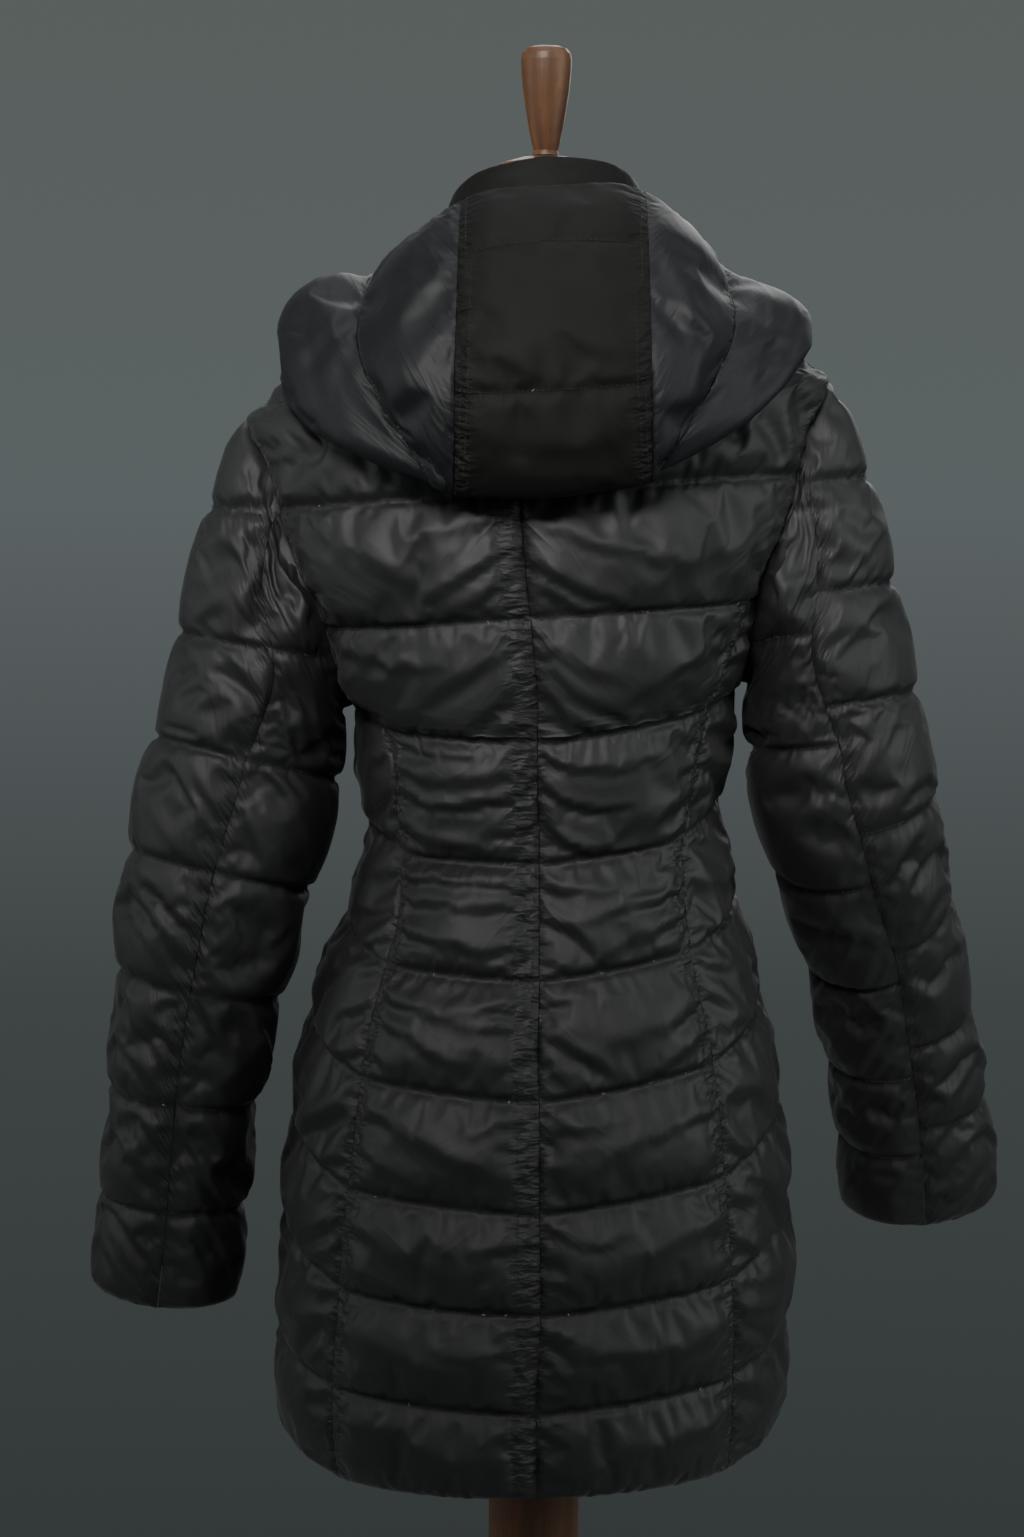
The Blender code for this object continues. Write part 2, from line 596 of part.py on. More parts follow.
hood_wall("hood_centre", -1, 1, 6, "dull")
hood_wall("hood_side_left", -2, -1, 4, "satin")
hood_wall("hood_side_right", 1, 2, 4, "satin")
hood_wall("hood_edge_left", -3, -2, 7, "satin")
hood_wall("hood_edge_right", 2, 3, 7, "satin")

# ------------------------------------------------------------------ zip
ZIP_T = .0016
outer, inner = [], []
strip = [("body", q) for q in ALL[:-1]] + [("body", 12)] + [("collar", v) for v in (.06, .25, .5, .75, .97)]
for where, v in strip:
    if where == "body":
        z = float(level(v, 180.0))
        p, n = body(180.0, z), body_normal(180.0, z)
        n[2] *= 1 - min(1, max(0, v - 11))
    else:
        p, n = collar(180.0, v), np.array([0, 1.0, .15])
    n = n / np.linalg.norm(n)
    half = ZIP_HALF - GAP - .0003
    row = np.array([p + np.array([x, 0, 0]) for x in (-half, half)])
    outer.append(row + n * ZIP_T / 2)
    inner.append(row - n * ZIP_T / 2)
wall("zip_tape", np.array(outer), np.array(inner), "tape")


def turned(name, profile, kind):
    mesh = bpy.data.meshes.new(name)
    mesh.from_pydata([(r, 0, z) for r, z in profile], [(k, k + 1) for k in range(len(profile) - 1)], [])
    mesh.shade_smooth()
    ob = add(name, mesh, kind)
    screw = ob.modifiers.new("turn", "SCREW")
    screw.axis = "Z"
    screw.steps = screw.render_steps = TURN_STEPS
    screw.use_merge_vertices = True
    screw.merge_threshold = 1e-5
    return ob


NECK_CAP[0] = (0, NECK_CAP[0][1])
NECK_CAP[-1] = (0, NECK_CAP[-1][1])
for profile in (FINIAL, POST, BASE):
    profile[0] = (0, profile[0][1])
    profile[-1] = (0, profile[-1][1])
turned("form_neck_cap", NECK_CAP, "wood")
turned("form_finial", FINIAL, "wood")
turned("stand_post", POST, "wood")
turned("stand_base", BASE, "wood")

# Torso: a closed loft between unlike oval sections, flat under the hips and at the neck
bm = bmesh.new()
around = 36
rings = []
for z, half, back, front in FORM:
    ring = []
    for k in range(around):
        a = 2 * pi * k / around
        deep = back if cos(a) > 0 else front
        x = half * float(spow(sin(a), 2 / 2.2))
        y = -deep * float(spow(cos(a), 2 / 2.2))
        ring.append(bm.verts.new((x, y, z)))
    rings.append(ring)
for lower, upper in zip(rings, rings[1:]):
    for k in range(around):
        m = (k + 1) % around
        bm.faces.new((lower[k], lower[m], upper[m], upper[k]))
bm.faces.new(rings[0])
bm.faces.new(rings[-1])
bmesh.ops.recalc_face_normals(bm, faces=bm.faces)
torso = bpy.data.meshes.new("form_torso")
bm.to_mesh(torso)
bm.free()
torso.shade_smooth()
add("form_torso", torso, "linen")

# ------------------------------------------------------------------ slider and its pull tab
cutters = bpy.data.collections.new("cutters")
bpy.context.scene.collection.children.link(cutters)
SLIDER_W, SLIDER_H, SLIDER_D = .0098, .0120, .0034
SLIDER_Z = 1.4700
EAR_W, EAR_IN = .0015, .0026
BARREL_R, BARREL_L = .0014, .0044
TAB_T, TAB_W, TAB_L = .0014, .0066, .0260
tape_y = max(float(collar(180.0, (z - COLLAR_BASE) / (1.488 - COLLAR_BASE))[1])
             for z in (SLIDER_Z - SLIDER_H / 2, SLIDER_Z + SLIDER_H / 2)) + ZIP_T / 2
plate_back = tape_y + .0006
plate_front = plate_back + SLIDER_D
AXIS = Vector((0, plate_front + .0026, SLIDER_Z + .0010))


def block(name, size, place, bevel, collection):
    bm = bmesh.new()
    bmesh.ops.create_cube(bm, size=1)
    bmesh.ops.scale(bm, vec=size, verts=bm.verts)
    mesh = bpy.data.meshes.new(name)
    bm.to_mesh(mesh)
    bm.free()
    ob = bpy.data.objects.new(name, mesh)
    collection.objects.link(ob)
    ob.location = place
    if bevel:
        m = ob.modifiers.new("edges", "BEVEL")
        m.width = bevel
        m.segments = 2
    return ob


def join_with(ob, tool):
    tool.hide_render = True
    tool.display_type = "WIRE"
    m = ob.modifiers.new("join_" + tool.name, "BOOLEAN")
    m.operation = "UNION"
    m.solver = "EXACT"
    m.object = tool


slider = block("zip_slider", (SLIDER_W, SLIDER_D, SLIDER_H), (0, plate_back + SLIDER_D / 2, SLIDER_Z), .0006, model)
slider.data.materials.append(material("metal", "zip_slider_finish"))
for sx in (-1, 1):
    ear = block("ear_left" if sx < 0 else "ear_right", (EAR_W, AXIS.y + .0015 - plate_front + .0012, .0040),
                (sx * (EAR_IN + EAR_W / 2), (AXIS.y + .0015 + plate_front - .0012) / 2, AXIS.z), 0, cutters)
    join_with(slider, ear)

curve = bpy.data.curves.new("tab_outline", "CURVE")
curve.dimensions = "2D"
curve.fill_mode = "BOTH"
curve.extrude = TAB_T / 2
root, wide = BARREL_L / 2, TAB_W / 2
outline = [(-root, 0), (root, 0), (root, -.0034), (wide, -.0062), (wide, -TAB_L + .0020)]
outline += [(wide * cos(a), -TAB_L + .0020 - .0020 * sin(a)) for a in (pi / 4, pi / 2, 3 * pi / 4)]
outline += [(-wide, -TAB_L + .0020), (-wide, -.0062), (-root, -.0034)]
spline = curve.splines.new("POLY")
spline.points.add(len(outline) - 1)
for point, (x, y) in zip(spline.points, outline):
    point.co = (x, y, 0, 1)
spline.use_cyclic_u = True
holder = bpy.data.objects.new("tab_outline", curve)
cutters.objects.link(holder)
bpy.context.view_layer.update()
flat = bpy.data.meshes.new_from_object(holder.evaluated_get(bpy.context.evaluated_depsgraph_get()))
bpy.data.objects.remove(holder, do_unlink=True)
bm = bmesh.new()
bm.from_mesh(flat)
bmesh.ops.remove_doubles(bm, verts=bm.verts, dist=1e-6)
bmesh.ops.rotate(bm, verts=bm.verts, cent=(0, 0, 0), matrix=Matrix.Rotation(pi / 2, 3, "X"))
bmesh.ops.recalc_face_normals(bm, faces=bm.faces)
bm.to_mesh(flat)
bm.free()
pull = add("zip_pull", flat, "metal")
pull.location = AXIS

bm = bmesh.new()
bmesh.ops.create_cone(bm, cap_ends=True, segments=20, radius1=BARREL_R, radius2=BARREL_R, depth=BARREL_L)
bmesh.ops.rotate(bm, verts=bm.verts, cent=(0, 0, 0), matrix=Matrix.Rotation(pi / 2, 3, "Y"))
mesh = bpy.data.meshes.new("barrel")
bm.to_mesh(mesh)
bm.free()
barrel = bpy.data.objects.new("barrel", mesh)
cutters.objects.link(barrel)
barrel.location = AXIS
join_with(pull, barrel)
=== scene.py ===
"""Looks of the quilted coat on its dress form: simulated down channels, seams, materials, light, camera."""
import bpy
import bmesh
import json
import math
from mathutils import Matrix, Vector

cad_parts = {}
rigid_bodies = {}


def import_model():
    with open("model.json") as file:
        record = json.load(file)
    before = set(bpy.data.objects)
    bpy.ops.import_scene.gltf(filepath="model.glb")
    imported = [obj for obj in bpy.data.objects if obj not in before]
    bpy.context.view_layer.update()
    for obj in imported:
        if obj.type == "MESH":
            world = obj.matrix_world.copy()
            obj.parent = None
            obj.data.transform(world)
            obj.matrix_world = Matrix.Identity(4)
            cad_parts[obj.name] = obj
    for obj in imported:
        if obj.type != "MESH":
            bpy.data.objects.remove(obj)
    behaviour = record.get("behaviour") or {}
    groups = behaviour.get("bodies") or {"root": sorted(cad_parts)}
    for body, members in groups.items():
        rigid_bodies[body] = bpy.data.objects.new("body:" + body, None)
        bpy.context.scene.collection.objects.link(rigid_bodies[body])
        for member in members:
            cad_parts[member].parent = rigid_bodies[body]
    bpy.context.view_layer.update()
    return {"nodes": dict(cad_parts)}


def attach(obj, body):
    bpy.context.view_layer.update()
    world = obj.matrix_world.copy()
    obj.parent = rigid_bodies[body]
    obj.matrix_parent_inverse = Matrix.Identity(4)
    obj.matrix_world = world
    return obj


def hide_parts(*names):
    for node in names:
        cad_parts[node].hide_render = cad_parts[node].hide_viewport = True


for old in list(bpy.data.objects):       # anything the file starts with
    bpy.data.objects.remove(old, do_unlink=True)

import numpy as np
from math import cos, sin, pi, radians, degrees, sqrt, acos

# ------------------------------------------------------------------ sizes (metres)
SEAM_T = 0.0030      # cloth wall at a stitch line
PUFF = 0.0060        # how far the down filling swells a channel
INSET = 0.0065       # smooth base surface inside the widest outline
GAP = 0.0004         # gap between two pieces at a seam, shared half and half
ZIP_HALF = 0.0062    # half the width left open at centre front for the zip
POWER = 2.3          # roundness of the body sections

# Body sections: z, half width, depth to the back, depth to the front, sideways shift
BODY = [
    (0.590, .1620, .144, .139, .000),
    (0.625, .1712, .148, .143, -.002),
    (0.680, .1785, .151, .147, -.003),
    (0.740, .1792, .152, .149, .000),
    (0.800, .1768, .150, .148, -.001),
    (0.860, .1700, .146, .145, -.001),
    (0.910, .1618, .138, .140, -.002),
    (0.952, .1505, .128, .134, -.001),
    (1.000, .1350, .117, .127, .002),
    (1.045, .1245, .111, .124, .003),
    (1.090, .1285, .115, .134, .002),
    (1.139, .1370, .121, .146, .003),
    (1.170, .1530, .125, .152, .001),
    (1.210, .1700, .127, .150, -.002),
    (1.260, .1870, .125, .135, -.003),
    (1.305, .1970, .110, .114, -.004),
    (1.341, .2010, .094, .094, -.004),
    (1.368, .1620, .086, .083, -.003),
    (1.395, .1220, .079, .077, -.001),
    (1.425, .0790, .072, .073, .000),
    (1.450, .0755, .070, .071, .000),
]
# The coat hangs a little askew: z, rise of a level line per metre to the right
TILT = [(0.60, .028), (0.85, .040), (1.04, .066), (1.34, .078), (1.45, .060)]
# Stitched lines round the body: number, z at centre back, rise at the princess
# seam, rise at the side seam (0 is the hem, 9 the yoke, 10 the shoulder point, 12 the neck)
LINES = [
    (0, .612, .003, .020),
    (1, .670, .011, .040),
    (2, .736, .012, .058),
    (3, .803, .014, .058),
    (4, .876, .016, .056),
    (5, .954, .012, .045),
    (6, 1.030, .008, .036),
    (7, 1.111, .010, .028),
    (8, 1.194, .000, .002),
    (9, 1.277, .000, .000),
    (10, 1.341, .000, .000),
    (11, 1.385, .000, .000),
    (12, 1.425, .000, .000),
]
UNDERARM, SHOULDER, NECK = 7, 10, 12
# Princess seam of the back: z, degrees from centre back on the left, on the right
PRINCESS = [
    (.60, 51, 51), (.68, 48, 49), (.75, 47, 46), (.82, 45, 45), (.90, 44, 45),
    (.96, 44, 43), (1.00, 45, 44), (1.03, 50, 47), (1.06, 53, 52), (1.09, 51, 54),
    (1.116, 53, 56), (1.135, 62, 57), (1.152, 73, 58), (1.170, 73, 58), (1.200, 73, 60),
]
PRINCESS_TOP = {-1: 7.25, 1: 8.0}
# Armhole: z, degrees from centre back (back edge), degrees from centre front (front edge)
ARMHOLE = [
    (1.139, 90, 90), (1.150, 79, 77), (1.170, 69, 65), (1.195, 64.5, 59), (1.215, 63, 57),
    (1.242, 66.5, 58), (1.260, 68.5, 60), (1.280, 68.5, 62), (1.300, 69.5, 65), (1.320, 72, 70),
    (1.333, 78, 78), (1.341, 90, 90),
]
Z_UNDERARM, Z_SHOULDER = 1.139, 1.341
# Centre back seam: z, degrees it strays to the left
CENTRE_BACK = [(.60, -.6), (.95, -.2), (1.03, 1.0), (1.12, 1.6), (1.20, 1.6), (1.27, 2.6), (1.45, 2.6)]
# Sleeves below the armhole: z, x out, y, half width, half depth
SLEEVE = {
    -1: [
        (1.105, .2000, .000, .0625, .066),
        (1.066, .2090, -.002, .0670, .067),
        (1.013, .2216, -.004, .0635, .064),
        (.970, .2287, -.004, .0610, .062),
        (.922, .2376, -.002, .0553, .059),
        (.865, .2460, .002, .0515, .056),
        (.816, .2514, .006, .0495, .054),
        (.767, .2560, .010, .0500, .053),
        (.717, .2618, .014, .0497, .052),
    ],
    1: [
        (1.118, .2035, .000, .0590, .065),
        (1.085, .2080, .001, .0612, .066),
        (1.050, .2160, .007, .0600, .064),
        (1.006, .2281, .024, .0557, .061),
        (.959, .2440, .048, .0530, .059),
        (.905, .2570, .068, .0524, .056),
        (.855, .2674, .084, .0524, .054),
        (.810, .2748, .097, .0535, .053),
        (.771, .2790, .110, .0550, .053),
    ],
}
CAP_BULGE = .0090
# Back seam of the sleeve: rung of the sleeve, degrees from its outer edge to the back
SLEEVE_SEAM = [(0, 68.5), (.25, 85), (.45, 97), (.7, 100), (1, 95), (2, 92), (9, 91)]


def smooth(x, xs, ys):
    """Cubic through a table, its slope the weighted mean of its neighbours'."""
    xs = np.asarray(xs, float)
    ys = np.asarray(ys, float)
    x = np.asarray(x, float)
    h = np.diff(xs)
    d = np.diff(ys) / h
    m = np.empty_like(ys)
    m[0], m[-1] = d[0], d[-1]
    m[1:-1] = (d[:-1] * h[1:] + d[1:] * h[:-1]) / (h[:-1] + h[1:])
    i = np.clip(np.searchsorted(xs, x) - 1, 0, len(xs) - 2)
    t = np.clip((x - xs[i]) / h[i], 0, 1)
    return ((2 * t ** 3 - 3 * t ** 2 + 1) * ys[i] + (t ** 3 - 2 * t ** 2 + t) * h[i] * m[i]
            + (-2 * t ** 3 + 3 * t ** 2) * ys[i + 1] + (t ** 3 - t ** 2) * h[i] * m[i + 1])


def column(table, c):
    return [row[c] for row in table]


def look(table, x, c):
    return smooth(x, column(table, 0), column(table, c))


def spow(v, p):
    return np.sign(v) * np.abs(v) ** p


def body(th, z):
    """Base surface of the coat. th in degrees: 0 centre back, 90 right side, 180 centre front."""
    t = np.radians(th)
    s, c, e = np.sin(t), np.cos(t), 2 / POWER
    half = look(BODY, z, 1) - INSET
    deep = np.where(c > 0, look(BODY, z, 2), look(BODY, z, 3))
    x = look(BODY, z, 4) + half * spow(s, e)
    y = -deep * spow(c, e)
    lean = np.interp(z, column(TILT, 0), column(TILT, 1))
    return np.stack(np.broadcast_arrays(x, y, z + lean * x), -1)


def body_normal(th, z):
    a = body(th + .5, z) - body(th - .5, z)
    b = body(th, z + .002) - body(th, z - .002)
    n = np.cross(a, b)
    return n / np.linalg.norm(n, axis=-1, keepdims=True)


def level(q, th):
    """Height of stitched line q at th, with its rise towards the side seams."""
    a = np.abs(th)
    a = np.where(a > 90, 180 - a, a)
    near = look(LINES, q, 2)
    side = look(LINES, q, 3)
    rise = np.where(a < 45, near * a / 45, near + (side - near) * (a - 45) / 45)
    return look(LINES, q, 1) + rise


def settle(q, start, rule):
    """The degrees at which line q meets a seam given by height."""
    th = start
    for _ in range(30):
        th = .5 * th + .5 * float(rule(float(level(q, th))))
    return th


def edge_centre(q, side):
    return -float(settle(q, 0.0, lambda z: np.interp(z, column(CENTRE_BACK, 0), column(CENTRE_BACK, 1))))


def edge_armhole(q, side, face):
    """face 1 is the back edge, 2 the front edge; 90 above the shoulder point."""
    if q <= UNDERARM or q >= SHOULDER:
        th = 90.0
    else:
        f = (lambda z: np.interp(z, column(ARMHOLE, 0), column(ARMHOLE, face)))
        if face == 1:
            th = settle(q, 70.0, f)
        else:
            th = settle(q, 70.0, lambda z: f(z))
    return side * (th if face == 1 else 180 - th)


def edge_princess(q, side):
    c = 1 if side < 0 else 2
    return side * settle(q, 50.0, lambda z: np.interp(z, column(PRINCESS, 0), column(PRINCESS, c)))


def puff_at(q):
    f = np.abs(np.sin(pi * np.asarray(q, float)))
    return f ** .6


def armhole_point(phi, side):
    """Armhole loop: phi 0 shoulder, 90 back, 180 underarm, 270 front. Gives th, z."""
    phi = np.asarray(phi, float) % 360
    z = Z_UNDERARM + (Z_SHOULDER - Z_UNDERARM) * (1 + np.cos(np.radians(phi))) / 2
    back = np.interp(z, column(ARMHOLE, 0), column(ARMHOLE, 1))
    front = 180 - np.interp(z, column(ARMHOLE, 0), column(ARMHOLE, 2))
    return side * np.where(phi <= 180, back, front), z


def phi_of(z):
    return degrees(acos(max(-1, min(1, 2 * (z - Z_UNDERARM) / (Z_SHOULDER - Z_UNDERARM) - 1))))


def sleeve_frame(t, side):
    """Centre, outward and backward directions and half sizes of sleeve rung t (t >= 1)."""
    T = SLEEVE[side]
    k = np.arange(1, len(T) + 1, dtype=float)
    t = np.clip(t, 1, len(T))
    c = np.stack([side * smooth(t, k, column(T, 1)), smooth(t, k, column(T, 2)), smooth(t, k, column(T, 0))], -1)
    e = .02
    t0, t1 = np.clip(t - e, 1, len(T)), np.clip(t + e, 1, len(T))
    a = np.stack([side * smooth(t0, k, column(T, 1)), smooth(t0, k, column(T, 2)), smooth(t0, k, column(T, 0))], -1)
    b = np.stack([side * smooth(t1, k, column(T, 1)), smooth(t1, k, column(T, 2)), smooth(t1, k, column(T, 0))], -1)
    d = b - a
    d = d / np.linalg.norm(d, axis=-1, keepdims=True)
    back = np.zeros_like(d)
    back[..., 1] = -1.0
    out = np.cross(back, d) * (side)
    out = out / np.linalg.norm(out, axis=-1, keepdims=True)
    out = out * np.sign(out[..., :1]) * side
    back = np.cross(d, out)
    back = back * -np.sign(back[..., 1:2])
    return c, out, back, smooth(t, k, column(T, 3)) - .0035, smooth(t, k, column(T, 4)) - .0035


def sleeve(phi, t, side):
    """Base surface of a sleeve. t 0 armhole, 1 below the underarm, 9 cuff."""
    phi, t = np.broadcast_arrays(np.asarray(phi, float), np.asarray(t, float))
    r = np.radians(phi)
    c, out, back, w, d = sleeve_frame(np.maximum(t, 1), side)
    e = 2 / 2.15
    ring = c + out * (w * spow(np.cos(r), e))[..., None] + back * (d * spow(np.sin(r), e))[..., None]
    th, z = armhole_point(phi, side)
    hole = body(th, z)
    u = np.clip(t, 0, 1)
    low = np.clip(-np.cos(r) * 1.15 + .15, 0, 1)
    mix = np.stack([u ** (1 - .60 * low), u, u ** (1 + .8 * low)], -1)
    lift = CAP_BULGE * np.sin(pi * u ** .6)
    push = np.stack([side * np.maximum(np.cos(r), 0), -np.sin(r) * .8, 0 * r], -1) * lift[..., None]
    clear = (low * np.sin(pi * u ** .5))[..., None]
    push = push + body_normal(th, z) * .0050 * clear + np.array([0, 0, .0045]) * clear * low[..., None]
    return hole * (1 - mix) + ring * mix + push


def sleeve_normal(phi, t, side):
    a = sleeve(phi + 1.5, t, side) - sleeve(phi - 1.5, t, side)
    tt = np.asarray(t, float)
    n = len(SLEEVE[side])
    b = sleeve(phi, np.minimum(tt + .05, n), side) - sleeve(phi, np.maximum(tt - .05, 0), side)
    m = np.cross(a, b) * side
    m = m / np.linalg.norm(m, axis=-1, keepdims=True)
    return m


# ------------------------------------------------------------------ collar and hood
COLLAR_BASE = 1.4254
# Collar: degrees from centre back, height of its top edge
COLLAR_TOP = [(0, 1.500), (40, 1.494), (90, 1.481), (135, 1.483), (180, 1.488)]
COLLAR_SIZE = {"base": (.0725, .0720, .0730), "top": (.0605, .0575, .0620)}
COLLAR_T = .0050
# Hood sections from the centre (0) to the front end (3), left side as worn, level coat:
# station, then x out, y, z of the rim, upper swell, lower swell and fold
HOOD = [
    (0.00, (.000, -.080, 1.478), (.000, -.128, 1.440), (.000, -.168, 1.350), (.000, -.156, 1.276)),
    (1.00, (.055, -.066, 1.472), (.056, -.116, 1.434), (.058, -.160, 1.352), (.059, -.149, 1.282)),
    (1.50, (.092, -.012, 1.452), (.092, -.092, 1.424), (.091, -.148, 1.358), (.066, -.149, 1.285)),
    (2.00, (.113, .040, 1.438), (.121, -.050, 1.410), (.119, -.118, 1.368), (.075, -.148, 1.290)),
    (2.33, (.112, .056, 1.434), (.142, -.020, 1.430), (.149, -.080, 1.392), (.133, -.122, 1.322)),
    (2.66, (.106, .070, 1.432), (.156, .010, 1.428), (.173, -.032, 1.402), (.172, -.064, 1.364)),
    (3.00, (.094, .084, 1.430), (.128, .072, 1.424), (.152, .056, 1.408), (.160, .044, 1.388)),
]
# Under layer: station, degrees and body height where it leaves the fold, degrees at the nape
HOOD_UNDER = [
    (0.00, 0, 1.306, 0), (1.00, 17, 1.308, 25), (1.50, 20, 1.311, 42), (2.00, 24, 1.316, 60),
    (2.33, 46, 1.338, 82), (2.66, 74, 1.364, 104), (3.00, 122, 1.380, 128),
]
HOOD_T = .0050
HOOD_CLEAR = .0150
HOOD_LEAN = .060


def collar(th, v):
    """Base surface of the stand collar, v 0 at the neck seam and 1 at the top."""
    t = np.radians(th)
    s, c, e = np.sin(t), np.cos(t), 2 / POWER
    b, p = COLLAR_SIZE["base"], COLLAR_SIZE["top"]
    half = b[0] + (p[0] - b[0]) * v
    deep = np.where(c > 0, b[1] + (p[1] - b[1]) * v, b[2] + (p[2] - b[2]) * v)
    top = smooth(np.abs(th), column(COLLAR_TOP, 0), column(COLLAR_TOP, 1))
    x = half * spow(s, e)
    z = COLLAR_BASE + (top - COLLAR_BASE) * v + np.interp(1.425, column(TILT, 0), column(TILT, 1)) * x
    return np.stack(np.broadcast_arrays(x, -deep * spow(c, e), z), -1)


def collar_normal(th, v):
    a = collar(th + .5, v) - collar(th - .5, v)
    b = collar(th, np.asarray(v) + .01) - collar(th, np.asarray(v) - .01)
    n = np.cross(a, b)
    n[..., 2] *= np.clip(np.asarray(v) * 6, 0, 1)
    return n / np.linalg.norm(n, axis=-1, keepdims=True)


def hood(c, s):
    """Middle of the hood's wall. c -3 left end .. 0 .. 3 right end; s 0 rim, 3 fold, 6 nape."""
    c, s = np.broadcast_arrays(np.asarray(c, float), np.asarray(s, float))
    side = np.where(c < 0, -1.0, 1.0)
    a = np.abs(c)
    keys = column(HOOD, 0)
    knots = []
    for j in range(1, 5):
        xyz = [smooth(a, keys, [row[j][k] for row in HOOD]) for k in range(3)]
        w = np.clip(1 - np.abs(c - 1), 0, 1)
        x = side * xyz[0] + .0095 * w * w * (3 - 2 * w)
        g = np.clip((c - 1.9) / .5, 0, 1)
        xyz[2] = xyz[2] - (.018, .026, .016, 0)[j - 1] * g * g * (3 - 2 * g)
        knots.append(np.stack([x, xyz[1], xyz[2] + HOOD_LEAN * x], -1))
    th, z, nape = (look(HOOD_UNDER, a, k) for k in (1, 2, 3))
    for w, off in ((0.0, HOOD_CLEAR), (.5, .0140), (1.0, .0105)):
        tt = side * (th + (nape - th) * w)
        zz = z + (1.438 - z) * w
        knots.append(body(tt, zz) + body_normal(tt, zz) * off)
    K = np.stack([2 * knots[0] - knots[1]] + knots + [2 * knots[-1] - knots[-2]], 0)
    i = np.clip(s.astype(int), 0, 5)
    u = (s - i)[..., None]
    take = lambda k: np.take_along_axis(K, (i + k)[None, ..., None], 0)[0]
    p0, p1, p2, p3 = take(0), take(1), take(2), take(3)
    return .5 * (2 * p1 + (p2 - p0) * u + (2 * p0 - 5 * p1 + 4 * p2 - p3) * u * u
                 + (3 * p1 - p0 - 3 * p2 + p3) * u ** 3)


def hood_normal(c, s):
    c, s = np.broadcast_arrays(np.asarray(c, float), np.asarray(s, float))
    a = hood(np.minimum(c + .02, 3), s) - hood(np.maximum(c - .02, -3), s)
    b = hood(c, np.minimum(s + .03, 6)) - hood(c, np.maximum(s - .03, 0))
    n = -np.cross(a, b)
    return n / np.linalg.norm(n, axis=-1, keepdims=True)


# =================================================================== frame and camera
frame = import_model()
scene = bpy.context.scene
RNG = np.random.default_rng(7)

cam_data = bpy.data.cameras.new("camera")
cam_data.lens = 83.15
cam_data.sensor_width = 36.0
cam_data.sensor_fit = "AUTO"
cam_data.clip_end = 50
cam = bpy.data.objects.new("camera", cam_data)
scene.collection.objects.link(cam)
scene.camera = cam
pitch, roll = radians(-4.3), radians(0.48)
fwd = Vector((0, cos(pitch), sin(pitch)))
rgt = Vector((1, 0, 0))
upv = rgt.cross(fwd)
rr = rgt * cos(roll) + upv * sin(roll)
uu = upv * cos(roll) - rgt * sin(roll)
M = Matrix((rr, uu, -fwd)).transposed().to_4x4()
M.translation = Vector((-0.0195, -2.45, 1.27))
cam.matrix_world = M


# =================================================================== small tools
def noise_field(shape, cells, rng, octaves=3):
    """Smooth noise on a grid of rows and columns, about -1..1. cells is its coarsest count each way."""
    out = np.zeros(shape)
    amp, total = 1.0, 0.0
    for o in range(octaves):
        n0, n1 = int(cells[0] * 2 ** o) + 4, int(cells[1] * 2 ** o) + 4
        g = rng.uniform(-1, 1, (n0, n1))
        y = np.linspace(1, n0 - 2.001, shape[0])
        x = np.linspace(1, n1 - 2.001, shape[1])
        yi, xi = y.astype(int), x.astype(int)
        ty, tx = y - yi, x - xi
        ty, tx = ty * ty * (3 - 2 * ty), tx * tx * (3 - 2 * tx)
        a = g[np.ix_(yi, xi)] * (1 - tx) + g[np.ix_(yi, xi + 1)] * tx
        b = g[np.ix_(yi + 1, xi)] * (1 - tx) + g[np.ix_(yi + 1, xi + 1)] * tx
        out += amp * (a * (1 - ty[:, None]) + b * ty[:, None])
        total += amp
        amp *= .55
    return out / total


def grid_normals(P):
    a = np.empty_like(P)
    b = np.empty_like(P)
    a[:, 1:-1] = P[:, 2:] - P[:, :-2]
    a[:, 0] = P[:, 1] - P[:, 0]
    a[:, -1] = P[:, -1] - P[:, -2]
    b[1:-1] = P[2:] - P[:-2]
    b[0] = P[1] - P[0]
    b[-1] = P[-1] - P[-2]
    n = np.cross(a, b)
    return n / np.maximum(np.linalg.norm(n, axis=-1, keepdims=True), 1e-12)


def double(P):
    """Twice as fine a grid through the same points."""
    for axis in (0, 1):
        P = np.moveaxis(P, axis, 0)
        ext = np.concatenate([2 * P[:1] - P[1:2], P, 2 * P[-1:] - P[-2:-1]], 0)
        mid = (-ext[:-3] + 9 * ext[1:-2] + 9 * ext[2:-1] - ext[3:]) / 16
        out = np.empty((2 * P.shape[0] - 1,) + P.shape[1:])
        out[0::2] = P
        out[1::2] = mid
        P = np.moveaxis(out, 0, axis)
    return P


class Panel:
    """One piece of cloth as a grid: base points and normals, what is stitched down, and
    its distances along and across its seams and stitched lines."""

    def __init__(self, name, base, normal, q, pin, rise, thick, low=0.0, high=0.0):
        self.name, self.base, self.normal = name, base, normal
        self.low, self.high = low, high          # widths of the stitched bands along its two seams
        self.q, self.pin, self.rise, self.thick = q, pin, rise, thick
        self.outer = base + normal * rise[..., None]
        across = np.linalg.norm(np.diff(base, axis=1), axis=-1)
        self.x = np.concatenate([np.zeros((base.shape[0], 1)), np.cumsum(across, 1)], 1)
        up = np.linalg.norm(np.diff(base, axis=0), axis=-1)
        self.y = np.concatenate([np.zeros((1, base.shape[1])), np.cumsum(up, 0)], 0)
        self.width = self.x[:, -1:]
        self.seam = np.minimum(self.x, self.width - self.x)


